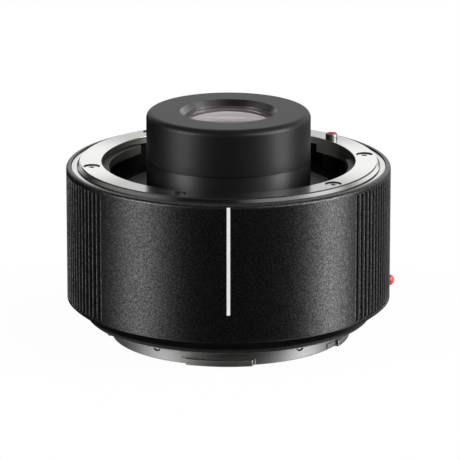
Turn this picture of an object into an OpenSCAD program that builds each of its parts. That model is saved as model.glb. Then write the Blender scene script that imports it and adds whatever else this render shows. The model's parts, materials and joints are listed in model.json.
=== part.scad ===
// Camera teleconverter: a short tube that goes between a camera body and a lens.
// Female bayonet on top, male bayonet below, with the lens block standing out of the top.
// Millimetres. Z is the optical axis, upwards to the lens; the foot of the rear spigot is at z = 0.

/* [Overall] */
// Outside diameter of the barrel
barrel_d = 73.8; // [73.4:0.1:75]
// From the rear seat to the front seat
seat_gap = 36.3; // [36:0.1:37.5]
// From the rear seat down to the foot of the spigot
spigot_h = 4.4; // [4.3:0.1:5]
// From the front seat up to the top of the hood
hood_rise = 11.45; // [11:0.05:12]

/* [Barrel] */
// Wall of the barrel
barrel_wall = 1.15; // [1.05:0.05:1.3]
// Top of the barrel below the front seat
lip_drop = 0.9; // [0.8:0.05:1]
// Rounding of the barrel's top edge
lip_round = 0.8; // [0.6:0.05:0.9]
// Height of the rear chamfer
chamfer_h = 3.4; // [3.2:0.1:3.6]
// Width of the rear chamfer
chamfer_w = 4.5; // [4.4:0.05:4.55]
// Foot of the chamfer above the rear seat
chamfer_foot = 0.9; // [0.8:0.05:1]
// Wall of the rubber seal under the chamfer
seal_t = 0.28; // [0.24:0.01:0.32]
// Height of the seal that shows under the chamfer
seal_show = 0.6; // [0.5:0.05:0.7]
// First grip groove, degrees from the front
groove_start = 51; // [49:1:53]
// Angle from groove to groove
groove_pitch = 2.5; // [2.4:0.1:2.6]
// Grooves on each side
groove_count = 25; // [22:1:25]
// Radius of the groove cutter
groove_r = 0.5; // [0.45:0.05:0.55]
// Depth of a groove
groove_depth = 0.35; // [0.25:0.05:0.4]
// Plain band above the grooves
groove_top_band = 1.1; // [1:0.1:1.5]
// Plain band below the grooves
groove_foot_band = 0.5; // [0.4:0.1:0.8]

/* [Index marks] */
// Width of the white line
line_w = 0.77; // [0.7:0.01:1]
// Length of the white line
line_len = 24.2; // [22:0.1:26]
// Depth of the white line's inlay
line_depth = 0.15; // [0.1:0.01:0.2]
// Radius of the red dome
dome_r = 1.3; // [1.1:0.05:1.4]
// How far the dome stands out of the barrel
dome_proud = 1; // [0.9:0.02:1.04]
// Dome below the front seat
dome_drop = 28.4; // [28:0.1:29]
// Radius of the dome's stem
dome_stem_r = 0.9; // [0.8:0.05:1]

/* [Front mount] */
// Dark gap between barrel and seat ring
rim_gap = 0.15; // [0.1:0.01:0.2]
// Width of the seat ring's bright step
step_w = 1.15; // [1.1:0.05:1.2]
// Drop of the step below the front seat
step_drop = 1.1; // [1:0.05:1.2]
// Thickness of the seat ring under the mount ring
seat_t = 1.7; // [1.6:0.05:1.8]
// Gap between the mount ring and the step
ring_gap = 0.05; // [0.03:0.01:0.06]
// Slope of the mount ring's riser
riser_w = 0.75; // [0.7:0.05:0.8]
// Height of the mount ring's riser
riser_h = 0.9; // [0.8:0.05:1]
// Width of the mount ring's top face
face_w = 4.81; // [4.7:0.01:4.85]
// Bevel of the mount ring's inner edge
ring_bevel = 0.15; // [0.1:0.01:0.2]
// Thickness of the mount ring's flange
ring_t = 1.6; // [1.5:0.05:1.7]
// Reach of the female tabs into the throat
tab_reach = 1.64; // [1.6:0.01:1.7]
// Top of the female tabs below the front seat
tab_drop = 1.35; // [1.2:0.05:1.45]
// Underside of the female tabs below the front seat
tab_foot = 3.45; // [3.4:0.05:3.6]
// Circle of the ring screws, outside the throat
screw_out = 2.56; // [2.5:0.01:2.6]
// Radius of the screw recess
recess_r = 1.9; // [1.85:0.01:1.95]
// Depth of the screw head below the front seat
head_sink = 0.12; // [0.1:0.01:0.15]
// Thickness of the screw head
head_t = 0.7; // [0.6:0.05:0.75]
// Radius of the screw shank
shank_r = 0.8; // [0.7:0.05:0.85]
// Length of the ring screws under the head
shank_len = 5; // [4.5:0.1:5.5]
// Width of the cross slot in a screw head
cross_slot_w = 0.42; // [0.35:0.01:0.5]

/* [Throat] */
// Relief of the cavity behind the tabs
cavity_relief = 1.06; // [1:0.02:1.1]
// Cavity floor below the front seat
floor_drop = 7.3; // [7.2:0.05:7.5]
// Thickness of the black liner's wall
liner_t = 0.4; // [0.35:0.05:0.45]
// Thickness of the black liner's floor
liner_floor_t = 0.5; // [0.45:0.05:0.6]
// Width of the raised plate on the floor
plate_w = 5.83; // [5.7:0.01:6]
// Height of the raised plate
plate_t = 0.5; // [0.4:0.05:0.6]
// Thickness of the leaf springs
leaf_t = 0.25; // [0.2:0.01:0.3]

/* [Lock and release] */
// Direction of the lock pin and the release button
lock_angle = 38.5; // [38:0.1:39]
// Circle of the lock pin, outside the throat
pin_out = 1.55; // [1.5:0.01:1.6]
// Radius of the lock pin
pin_r = 1.35; // [1.3:0.01:1.4]
// How far the pin stands above the front seat
pin_proud = 1.4; // [1.3:0.05:1.45]
// Rounding of the pin's top edge
pin_round = 0.3; // [0.25:0.01:0.35]
// Radius of the red inlay in the pin
pin_mark_r = 1.05; // [0.95:0.01:1.08]
// Running clearance of the pin
pin_clear = 0.07; // [0.05:0.01:0.09]
// Travel of the button, and of the pin
release_travel = 1.8; // [1.6:0.05:1.85]
// Release button centre below the front seat
button_drop = 14.2; // [14:0.1:14.4]
// Width of the release button
button_w = 9; // [8.5:0.1:9.5]
// Height of the release button
button_h = 5; // [4.8:0.1:5.2]
// How far the button stands out of the barrel
button_proud = 1.5; // [1.3:0.05:1.6]
// Gap around the release button
button_gap = 0.2; // [0.15:0.01:0.25]
// Rim that keeps the button in the barrel
button_rim = 0.7; // [0.6:0.05:0.8]
// Thickness of the slotted plate
cam_t = 0.9; // [0.8:0.02:0.96]
// Slotted plate above the cross pin
cam_up = 1.6; // [1.4:0.05:1.8]
// Slotted plate below the cross pin
cam_down = 2.85; // [2.75:0.05:2.9]
// Radius of the cross pin
cross_r = 0.5; // [0.45:0.01:0.52]
// Wire radius of the lock spring
wire_r = 0.15; // [0.12:0.01:0.17]
// Length of the lock spring
spring_len = 4; // [3.8:0.05:4.2]

/* [Contacts] */
// Direction of the contact blocks
contact_angle = 95; // [94:0.5:96]
// Contacts in the row
contact_count = 10; // [8:1:10]
// Angle from contact to contact
contact_pitch = 4; // [3.8:0.1:4.1]
// Circle of the contacts, outside the hood
contact_out = 4.55; // [4.5:0.01:4.6]
// Radius of a contact pin
contact_r = 0.4; // [0.36:0.01:0.42]
// Travel of the contact pins
contact_travel = 0.8; // [0.6:0.05:0.9]
// Top of the contact block below the front seat
block_drop = 4.8; // [4.7:0.05:4.9]
// Width of the contact blocks
block_w = 2.6; // [2.5:0.02:2.64]
// Radius of a flat contact
pad_r = 0.55; // [0.5:0.01:0.58]
// Width of the flexible strips
flex_w = 10; // [9:0.1:11]
// Thickness of the flexible strips
flex_t = 0.25; // [0.2:0.01:0.3]

/* [Rear bayonet] */
// Gap between the spigot and a mating tab
spigot_clear = 0.43; // [0.4:0.01:0.46]
// Reach of the male tabs
male_reach = 1.03; // [1:0.01:1.06]
// Height of the male tabs
male_tab_h = 1.45; // [1.4:0.02:1.5]
// Wall of the spigot
spigot_wall = 1.87; // [1.8:0.01:1.9]
// Bevel of the spigot's foot
foot_bevel = 0.25; // [0.2:0.01:0.3]
// Thickness of the rear flange
flange_t = 1.5; // [1.4:0.05:1.6]
// Radius of the screws in the spigot's side
side_screw_r = 1.1; // [1:0.05:1.15]
// Height of those screws above the spigot's foot
side_screw_z = 2.9; // [2.8:0.05:3]
// Circle of the flange screws, inside the chamfer's foot
flange_screw_in = 3.3; // [3.2:0.05:3.4]
// Width of the rear window
window_w = 31; // [30:0.1:32]
// Height of the rear window
window_h = 21; // [20:0.1:22]
// Thickness of the rear baffle's wall
baffle_t = 1.6; // [1.4:0.05:1.8]

/* [Inside] */
// Thickness of the rear foot over the flange
foot_plate_t = 1.8; // [1.7:0.05:2]
// Thickness of the lens deck under the floor
deck_t = 1.9; // [1.8:0.05:2]
// Wall of the chassis
chassis_wall = 1.25; // [1.15:0.05:1.35]
// Height of the lands that carry the barrel
land_h = 2.4; // [2.2:0.1:2.6]
// Circuit board above the rear seat
board_rise = 15.6; // [15.4:0.1:15.8]
// Thickness of the circuit board
board_t = 1; // [0.8:0.05:1.2]
// Width of the ledge that carries the board
ledge_w = 3.4; // [3.2:0.05:3.6]
// Thickness of that ledge
ledge_t = 1; // [0.8:0.05:1.2]
// Radius of the board screws
board_screw_r = 0.5; // [0.45:0.01:0.55]

/* [Hood and lens block] */
// Radius of the hood
hood_r = 18.65; // [18.5:0.05:18.8]
// Rounding of the hood's top edge
hood_round = 2; // [1.8:0.1:2.2]
// Seam of the hood above the front seat
seam_rise = 0.6; // [0.5:0.05:0.7]
// Height of the seam
seam_h = 0.15; // [0.1:0.01:0.2]
// Depth of the seam
seam_depth = 0.5; // [0.4:0.05:0.6]
// Radius of the hood's opening
mouth_r = 11; // [10.8:0.05:11.2]
// Slope of the opening's bevel
mouth_bevel = 1.06; // [1:0.02:1.1]
// Depth of the opening's bevel
mouth_depth = 1.25; // [1.2:0.01:1.3]
// Front retaining ring below the top of the hood
retainer_drop = 1.35; // [1.3:0.01:1.4]
// Thickness of the front retaining ring
retainer_t = 0.5; // [0.4:0.05:0.6]
// Edge radius of the front lenses
lens_front_r = 10.4; // [10.3:0.05:10.5]
// Edge radius of the rear lenses
lens_rear_r = 14; // [13.9:0.05:14.1]
// Radial gap around the lenses
lens_gap = 0.05; // [0.04:0.01:0.06]
// Wall of the lens barrel around the rear lenses
tube_wall = 2.45; // [2.3:0.05:2.6]
// Width of the lens barrel's flange, outside the hood
tube_flange_w = 2.95; // [2.9:0.01:3]
// Thickness of the lens barrel's flange
tube_flange_t = 1.6; // [1.5:0.05:1.7]

/* [Hidden] */
$fn = 96;
lens_fn = 720;
small_fn = 32;

// How far a cutter runs past a face, the fit of two fixed pieces, and a gap between moving ones.
past = 0.5;
fit = 0.02;
free_gap = 0.3;

// Radii, from the barrel inwards.
barrel_r = barrel_d / 2;
barrel_in_r = barrel_r - barrel_wall;
seat_r = barrel_in_r - rim_gap;
seat_bore_r = seat_r - step_w;
ring_r = seat_bore_r - ring_gap;
ring_top_r = ring_r - riser_w;
throat_r = ring_top_r - face_w;
tab_r = throat_r - tab_reach;
cavity_r = throat_r + cavity_relief;
liner_out_r = cavity_r + liner_t;
skirt_gap = 0.1;
skirt_r = cavity_r - skirt_gap;
screw_circle = throat_r + screw_out;
pin_circle = throat_r + pin_out;
spigot_r = tab_r - spigot_clear;
male_tab_r = spigot_r + male_reach;
spigot_in_r = spigot_r - spigot_wall;
tab_root_r = spigot_r - spigot_wall / 2;
lip_r = barrel_r - chamfer_w;
seal_gap = 0.07;
flange_r = lip_r - seal_t - seal_gap;
flange_screw_circle = lip_r - flange_screw_in;

// Heights, from the foot upwards.
z_rear = spigot_h;
z_front = z_rear + seat_gap;
z_hood = z_front + hood_rise;
z_lip = z_front - lip_drop;
z_chamfer = z_rear + chamfer_foot;
z_break = z_chamfer + chamfer_h;
z_flange = z_rear + flange_t;
z_foot_plate = z_flange + foot_plate_t;
z_ring_foot = z_front - ring_t;
z_seat_foot = z_ring_foot - seat_t;
z_floor = z_front - floor_drop;
z_deck = z_floor - liner_floor_t;
z_deck_foot = z_deck - deck_t;
z_tab_top = z_front - tab_drop;
z_tab_foot = z_front - tab_foot;
z_seam = z_front + seam_rise;
z_board = z_rear + board_rise;
z_board_top = z_board + board_t;
z_button = z_front - button_drop;
z_dome = z_front - dome_drop;

// Chassis: its wall stands under the seat ring, its lands carry the barrel.
wall_step = 1.85;
wall_out_r = lip_r + wall_step;
wall_in_r = wall_out_r - chassis_wall;
land_r = barrel_in_r - fit;
tongue_h = 1.9;
land_foot = z_break + tongue_h + free_gap;
ledge_r = wall_in_r - ledge_w;
foot_bore_gap = 0.3;
web_in = 1.2;
web_t = 1;
thread_end = 0.4;

// Lock pin, its boss under the lens deck, and the cam that pulls it down.
boss_wall = 1.45;
boss_r = pin_r + boss_wall;
neck_wall = 0.65;
neck_r = pin_r + neck_wall;
neck_gap = 0.05;
slit_gap = 0.15;
slit_w = cam_t + 2 * slit_gap;
slit_top = z_button + cam_up + free_gap + release_travel;
slit_foot = z_button - cam_down - free_gap;
pin_end = 1.9;
pin_foot = slit_foot - pin_end;
spring_foot = pin_foot - spring_len;
spring_gap = 0.15;
spring_turns = 5;
wire_sides = 6;
turn_steps = 14;
boss_floor = 1;
boss_foot = spring_foot - boss_floor;
boss_h = z_deck - deck_t / 2 - boss_foot;
cam_reach = 2.35;
cam_in_r = pin_circle - cam_reach;
rim_clear = 0.75;
rim_t = 0.7;
rim_r = barrel_in_r - rim_clear;
plate_web = 0.25;
cam_out_r = rim_r - plate_web;
button_back = 0.15;
button_in_r = rim_r - rim_t - button_back;
button_out_r = barrel_r + button_proud;
button_room = 1;
cross_clear = 0.05;
cross_end = 0.15;
cross_len = 2 * (pin_r - cross_end);
flute_r = 0.5;
flute_depth = 0.15;
flute_pitch = 1.2;
flutes_each_way = 2;
tip_sink = 0.04;
lock_hole_clear = 0.1;

// Contacts: sprung pins in front, flat pads behind.
contact_circle = hood_r + contact_out;
contact_span = contact_pitch * (contact_count - 1);
block_margin = 4;
block_in_r = contact_circle - block_w / 2;
block_out_r = contact_circle + block_w / 2;
block_a0 = contact_angle - contact_span / 2 - block_margin;
block_a1 = contact_angle + contact_span / 2 + block_margin;
slot_margin = 0.1;
z_block = z_front - block_drop;
block_foot_t = 0.2;
z_block_foot = z_deck_foot - block_foot_t;
contact_spare = 0.4;
z_contact = z_block + contact_travel + contact_spare;
contact_clear = 0.05;
chamber_wall = 0.25;
chamber_r = contact_r + chamber_wall;
chamber_roof = 0.9;
chamber_top = z_block - chamber_roof;
chamber_floor = 0.4;
chamber_foot = z_block_foot + chamber_floor;
collar_w = 0.18;
collar_t = 0.4;
z_collar = chamber_top - contact_clear - collar_t;
contact_spring_gap = 0.1;
contact_spring_t = 0.15;
pad_sink = 0.35;
pad_proud = 0.15;
pad_t = 0.25;
z_pad_block = pad_sink + pad_proud;
rear_contact_in = 1.7;
rear_block_w = 3;
rear_circle = spigot_in_r - rear_contact_in;
rear_block_in_r = spigot_in_r - rear_block_w;

// Sectors of the bayonets, degrees from +X, and the screws.
female_tabs = [[-36, 11], [75, 105], [138, 190], [240, 272]];
male_tabs = [[68, 96], [154, 188], [249.6, 281.6], [334, 372]];
male_ramps = [[3, 1.5], [3, 1.5], [3, 1.5], [8, 1.5]];
ramp_reach = 0.3;
leaf_end = 4;
leaf_rim = 0.4;
leaf_lip = 0.5;
pin_boss = [13, 45];
ring_screws = [9, 67, 125, 190.5, 249, 318];
flange_screws = [20, 110, 200, 290];
side_screws = [233, 307];
board_screw_angles = [80, 200, 320];
tube_screw_angles = [30, 150, 270];
head_gap = 0.1;
cross_slots = [45, 135];
cross_rim = 0.55;
cross_floor = 0.25;
flange_head_t = 0.65;
flange_head_r = recess_r - 2 * head_gap;
flange_shank_len = 2.3;
side_screw_fit = 0.05;
side_screw_in = 1.5;
side_screw_sink = 0.15;
side_slot_w = 0.3;
side_slot_depth = 0.4;
baffle_drop = 1.4;
baffle_rim = 1;
board_gap = 0.1;
tube_gap = 1;
board_head_r = 0.95;
board_head_t = 0.5;
board_screw_edge = 1.2;
board_screw_in = ledge_w - board_screw_edge;
board_screw_circle = wall_in_r - board_screw_in;
board_screw_end = 0.3;
tube_head_r = 1.45;
tube_screw_out = 1.25;
tube_screw_bite = 1.2;
tube_screw_circle = hood_r + tube_screw_out;

// Chips on the board: direction, inner edge from the board's middle, depth, width and height.
chips = [[250, -4.2, 7, 7, 1], [205, -3.2, 5, 4, 0.8], [290, -2.7, 4, 3, 0.8], [160, -2.2, 3, 5, 1.2]];

// Lens block, downwards from the top of the hood.
z_retainer = z_hood - retainer_drop;
z_tube_top = z_retainer - retainer_t;
retainer_hold = 0.5;
retainer_in_r = lens_front_r - retainer_hold;
retainer_seat = 2.2;
retainer_out_r = lens_front_r + retainer_seat;
tongue_wall = 3.2;
tongue_r = lens_front_r + tongue_wall;
tube_r = lens_rear_r + lens_gap + tube_wall;
board_mid_r = (wall_in_r - board_gap + tube_r + tube_gap) / 2;
tube_flange_r = hood_r + tube_flange_w;
l1_rad = 48;
l1_t = 4.8;
l1_bond = 36;
l1b_t = 1.4;
l1b_rad = 160;
z_l1 = z_tube_top + sag(l1_rad, retainer_in_r) - fit;
z_l1b = z_l1 - l1_t;
z_l1_foot = z_l1b - l1b_t;
group_gap_12 = 3.9;
l2_rad = 60;
l2_t = 1.3;
l2_bond = 22;
l2b_t = 3.6;
l2b_rad = 90;
z_l2 = z_l1_foot - group_gap_12;
z_l2b = z_l2 - l2_t;
z_l2_foot = z_l2b - l2b_t;
z_shoulder = z_l2_foot - sag(l2b_rad, lens_front_r);
shoulder_t = 1.5;
shoulder_w = 1.2;
z_shoulder_foot = z_shoulder - shoulder_t;
shoulder_r = lens_front_r - shoulder_w;
l3_top = 0.6;
l3_rad = 40;
l3_t = 6.5;
l3_bond = 45;
l3b_t = 1.6;
l3b_rad = 300;
z_l3 = z_shoulder_foot - l3_top;
z_l3b = z_l3 - l3_t;
z_l3_foot = z_l3b - l3b_t;
group_gap_34 = 4.9;
l4_rad = 34;
l4_t = 1.5;
l4_bond = 50;
l4b_t = 4.2;
l4b_rad = 70;
z_l4 = z_l3_foot - group_gap_34;
z_l4b = z_l4 - l4_t;
z_l4_foot = z_l4b - l4b_t;
rear_retainer_h = 2.7;
rear_retainer_w = 1.6;
z_rear_edge = z_l4_foot + sag(l4b_rad, lens_rear_r - rear_retainer_w);
tube_end = 1.2;
z_tube_foot = z_rear_edge - rear_retainer_h - tube_end;
spacer_wall = 1.2;

// Colours.
grain_black = [0.05, 0.05, 0.055];
satin_black = [0.035, 0.035, 0.037];
matt_black = [0.02, 0.02, 0.022];
steel = [0.78, 0.78, 0.76];
screw_steel = [0.7, 0.7, 0.69];
pin_steel = [0.58, 0.58, 0.6];
gold = [0.83, 0.68, 0.3];
glass = [0.75, 0.7, 0.75, 0.4];
amber = [0.55, 0.32, 0.08];
red = [0.8, 0.05, 0.06];
mark_white = [0.92, 0.92, 0.9];
plate_grey = [0.3, 0.3, 0.31];
board_green = [0.05, 0.25, 0.12];
ring_brown = [0.1, 0.07, 0.055];

// Depth of a spherical face at radius r.
function sag(rad, r) = rad - sqrt(rad * rad - r * r);

// Direction of contact i.
function contact_at(i) = contact_angle - contact_span / 2 + i * contact_pitch;

// Plain ring between z0 and z1.
module ring(r_out, r_in, z0, z1) {
  translate([0, 0, z0]) difference() {
    cylinder(r = r_out, h = z1 - z0);
    translate([0, 0, -past]) cylinder(r = r_in, h = z1 - z0 + 2 * past);
  }
}

// Part of a ring from angle a0 to a1.
module sector(r_out, r_in, z0, z1, a0, a1) {
  translate([0, 0, z0]) rotate([0, 0, a0]) rotate_extrude(angle = a1 - a0)
    translate([r_in, 0]) square([r_out - r_in, z1 - z0]);
}

// Child at angle a, radius r and height z.
module polar(a, r, z) {
  rotate([0, 0, a]) translate([r, 0, z]) children();
}

// Child in the lock's own directions: X outwards, Y along the rim.
module at_lock() {
  rotate([0, 0, lock_angle]) children();
}

// Quarter of a disc, for a rounded edge.
module quarter(r) {
  intersection() {
    circle(r = r);
    square(r);
  }
}

// Hole for a screw at each of the angles.
module screw_holes(angles, circle, r, z0, z1) {
  for (a = angles) polar(a, circle, z0) cylinder(r = r + fit, h = z1 - z0, $fn = small_fn);
}

// Room for a contact block.
module block_slot(r_in, r_out, z0, z1) {
  sector(r_out, r_in - fit, z0, z1, block_a0 - slot_margin, block_a1 + slot_margin);
}

// Room for the lock pin's boss.
module boss_notch(z0, h) {
  at_lock() translate([pin_circle, 0, z0]) cylinder(r = boss_r + free_gap, h = h);
}

// Room for the release button in the chassis and the boss.
module button_opening() {
  w = button_w + 2 * (button_rim + free_gap);
  h = button_h + 2 * (button_rim + free_gap);
  at_lock() translate([wall_in_r - button_room, -w / 2, z_button - h / 2]) cube([barrel_r, w, h]);
}

// Rod along X from x0 to x1.
module rod_x(r, x0, x1, z) {
  translate([x0, 0, z]) rotate([0, 90, 0]) cylinder(r = r, h = x1 - x0);
}

// Bar along X with round ends, w wide and h high.
module oblong_x(w, h, x0, x1, z) {
  side = (w - h) / 2;
  translate([0, -side, 0]) rod_x(h / 2, x0, x1, z);
  translate([0, side, 0]) rod_x(h / 2, x0, x1, z);
  translate([x0, -side, z - h / 2]) cube([x1 - x0, 2 * side, h]);
}

// Screw with the top of its head at z = 0 and its shank downwards.
module screw(r_head, t_head, r_shank, len) {
  slot_len = 2 * (r_head - cross_rim);
  difference() {
    union() {
      translate([0, 0, -t_head]) cylinder(r = r_head, h = t_head);
      translate([0, 0, -t_head - len]) cylinder(r = r_shank, h = len + t_head / 2);
    }
    for (a = cross_slots) rotate([0, 0, a])
      translate([-slot_len / 2, -cross_slot_w / 2, cross_floor - t_head])
        cube([slot_len, cross_slot_w, t_head]);
  }
}

// Lens with its upper vertex at z0. A positive radius has its centre below the face.
module lens(z0, t, r, rad1, rad2) {
  up = rad1 < 0 ? sag(-rad1, r) : 0;
  down = rad2 > 0 ? sag(rad2, r) : 0;
  color(glass) rotate_extrude() difference() {
    intersection() {
      translate([0, z0 - t - down]) square([r, t + up + down]);
      if (rad1 > 0) translate([0, z0 - rad1]) circle(r = rad1, $fn = lens_fn);
      if (rad2 < 0) translate([0, z0 - t - rad2]) circle(r = -rad2, $fn = lens_fn);
    }
    if (rad1 < 0) translate([0, z0 - rad1]) circle(r = -rad1, $fn = lens_fn);
    if (rad2 > 0) translate([0, z0 - t - rad2]) circle(r = rad2, $fn = lens_fn);
  }
}

// Round wire wound along Z between z0 and z1.
module coil(r, wire, z0, z1, turns) {
  rise = z1 - z0 - 2 * wire;
  sides = wire_sides;
  steps = turns * turn_steps;
  pts = [for (i = [0 : steps]) for (j = [0 : sides - 1])
    let (a = 360 * turns * i / steps, b = 360 * j / sides, q = r + wire * cos(b))
      [q * cos(a), q * sin(a), z0 + wire + rise * i / steps + wire * sin(b)]];
  walls = [for (i = [0 : steps - 1]) for (j = [0 : sides - 1])
    let (k = (j + 1) % sides)
      [i * sides + j, (i + 1) * sides + j, (i + 1) * sides + k, i * sides + k]];
  ends = [[for (j = [0 : sides - 1]) j], [for (j = [sides - 1 : -1 : 0]) steps * sides + j]];
  polyhedron(points = pts, faces = concat(walls, ends));
}

// Strip of white paint in the barrel's side.
module line_solid() {
  z_top = z_lip - lip_round;
  intersection() {
    ring(barrel_r, barrel_r - line_depth, z_top - line_len, z_top);
    translate([-line_w / 2, -barrel_r - past, 0]) cube([line_w, barrel_r, z_hood]);
  }
}

module outer_barrel() {
  h = z_lip - z_break;
  groove_h = h - groove_top_band - groove_foot_band;
  groove_circle = barrel_r + groove_r - groove_depth;
  color(grain_black) difference() {
    translate([0, 0, z_break]) rotate_extrude() {
      translate([barrel_in_r, 0]) square([barrel_wall, h - lip_round]);
      translate([barrel_in_r, h - lip_round]) square([barrel_wall - lip_round, lip_round]);
      translate([barrel_r - lip_round, h - lip_round]) quarter(lip_round);
    }
    for (side = [-1, 1]) for (i = [0 : groove_count - 1])
      polar(-90 + side * (groove_start + i * groove_pitch), groove_circle,
          z_break + groove_foot_band)
        cylinder(r = groove_r, h = groove_h, $fn = small_fn);
    line_solid();
    rod_x(dome_stem_r, barrel_in_r - past, barrel_r + past, z_dome);
    at_lock() oblong_x(button_w + 2 * button_gap, button_h + 2 * button_gap,
      wall_in_r, barrel_r + past, z_button);
  }
}

module index_line() {
  color(mark_white) line_solid();
}

module index_dome() {
  x_dome = barrel_r + dome_proud - dome_r;
  color(red) union() {
    difference() {
      translate([x_dome, 0, z_dome]) sphere(r = dome_r, $fn = 2 * small_fn);
      cylinder(r = barrel_r, h = z_hood);
    }
    rod_x(dome_stem_r, barrel_in_r, x_dome + dome_r / 2, z_dome);
  }
}

module rear_trim_ring() {
  color(satin_black) rotate_extrude() polygon([
    [lip_r, z_chamfer], [barrel_r, z_break], [land_r, z_break], [land_r, z_break + tongue_h],
    [wall_out_r + fit, z_break + tongue_h], [wall_out_r + fit, z_foot_plate],
    [lip_r, z_foot_plate]]);
}

module rear_seal() {
  color(matt_black) ring(lip_r - fit, lip_r - seal_t, z_chamfer - seal_show, z_flange);
}

module front_seat_ring() {
  color(steel) difference() {
    union() {
      ring(seat_r, liner_out_r + fit, z_seat_foot, z_ring_foot);
      ring(seat_r, seat_bore_r, z_seat_foot, z_front - step_drop);
    }
    screw_holes(ring_screws, screw_circle, shank_r, z_seat_foot - past, z_ring_foot + past);
    at_lock() translate([pin_circle, 0, z_seat_foot - past])
      cylinder(r = pin_r + pin_clear, h = seat_t + 2 * past);
  }
}

module front_mount_ring() {
  color(steel) difference() {
    union() {
      rotate_extrude() polygon([[throat_r, z_ring_foot], [ring_r, z_ring_foot],
        [ring_r, z_front - riser_h], [ring_top_r, z_front], [throat_r + ring_bevel, z_front],
        [throat_r, z_front - ring_bevel]]);
      for (s = female_tabs) sector(skirt_r, tab_r, z_tab_foot, z_tab_top, s[0], s[1]);
      sector(skirt_r, throat_r, z_tab_foot, z_ring_foot + past, pin_boss[0], pin_boss[1]);
    }
    for (a = ring_screws) polar(a, screw_circle, z_front - head_sink - head_t)
      cylinder(r = recess_r, h = head_sink + head_t + past);
    screw_holes(ring_screws, screw_circle, shank_r, z_ring_foot - past, z_front);
    at_lock() translate([pin_circle, 0, z_tab_foot - past])
      cylinder(r = pin_r + pin_clear, h = tab_foot + 2 * past);
  }
}

module front_mount_screws() {
  color(screw_steel) for (a = ring_screws)
    polar(a, screw_circle, z_front - head_sink)
      screw(recess_r - head_gap, head_t, shank_r, shank_len, $fn = small_fn);
}

module bayonet_springs() {
  color(screw_steel) for (s = female_tabs)
    sector(skirt_r - leaf_rim, tab_r + leaf_lip, z_tab_foot - leaf_t, z_tab_foot,
      s[0] + leaf_end, s[1] - leaf_end);
}

module lock_pin() {
  z_top = z_front + pin_proud;
  color(pin_steel) at_lock() translate([pin_circle, 0, 0]) difference() {
    union() {
      translate([0, 0, pin_foot]) cylinder(r = pin_r, h = z_top - pin_round - pin_foot);
      translate([0, 0, z_top - pin_round]) rotate_extrude() {
        square([pin_r - pin_round, pin_round]);
        translate([pin_r - pin_round, 0]) quarter(pin_round);
      }
    }
    translate([0, 0, z_top - pin_round]) cylinder(r = pin_mark_r, h = pin_round + past);
    translate([-pin_r - past, -slit_w / 2, slit_foot])
      cube([2 * (pin_r + past), slit_w, slit_top - slit_foot]);
    cross_rod(cross_r);
  }
}

// Rod of the cross pin, in the lock pin's own place.
module cross_rod(r) {
  translate([0, cross_len / 2, z_button]) rotate([90, 0, 0]) cylinder(r = r, h = cross_len);
}

module lock_pin_tip() {
  color(red) at_lock() translate([pin_circle, 0, z_front + pin_proud - pin_round])
    cylinder(r = pin_mark_r, h = pin_round - tip_sink);
}

module lock_cross_pin() {
  color(pin_steel) at_lock() translate([pin_circle, 0, 0]) cross_rod(cross_r);
}

module lock_spring() {
  color(pin_steel) at_lock() translate([pin_circle, 0, 0])
    coil(pin_r - wire_r - spring_gap, wire_r, spring_foot, pin_foot, spring_turns);
}

module release_button() {
  color(grain_black) at_lock() difference() {
    union() {
      oblong_x(button_w, button_h, button_in_r, button_out_r, z_button);
      oblong_x(button_w + 2 * button_rim, button_h + 2 * button_rim, rim_r - rim_t, rim_r, z_button);
    }
    translate([button_in_r - past, -cam_t / 2, z_button - cam_down])
      cube([cam_out_r - button_in_r + past, cam_t, cam_up + cam_down]);
    for (i = [-flutes_each_way : flutes_each_way])
      translate([button_out_r + flute_r - flute_depth, i * flute_pitch, z_button - button_h])
        cylinder(r = flute_r, h = 2 * button_h, $fn = small_fn);
  }
}

module release_plate() {
  slot_r = cross_r + cross_clear;
  color(pin_steel) at_lock() difference() {
    translate([cam_in_r, -cam_t / 2, z_button - cam_down])
      cube([cam_out_r - cam_in_r, cam_t, cam_up + cam_down]);
    translate([pin_circle, cam_t, z_button]) rotate([90, 0, 0]) {
      cylinder(r = slot_r, h = 2 * cam_t);
      translate([release_travel, -release_travel, 0]) cylinder(r = slot_r, h = 2 * cam_t);
      rotate([0, 0, -45]) translate([0, -slot_r, 0])
        cube([release_travel * sqrt(2), 2 * slot_r, 2 * cam_t]);
    }
  }
}

module chassis() {
  color(satin_black) difference() {
    union() {
      ring(wall_out_r, wall_in_r, z_foot_plate, z_deck);
      ring(land_r, wall_in_r, land_foot, land_foot + land_h);
    }
    button_opening();
  }
}

module front_collar() {
  color(satin_black) difference() {
    union() {
      ring(wall_out_r, liner_out_r + fit, z_deck, z_seat_foot);
      ring(land_r, wall_in_r, z_seat_foot - land_h, z_seat_foot);
    }
    screw_holes(ring_screws, screw_circle, shank_r, z_deck + thread_end, z_front);
    at_lock() translate([pin_circle, 0, z_deck - past])
      cylinder(r = neck_r + fit, h = z_seat_foot - z_deck + 2 * past);
  }
}

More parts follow.
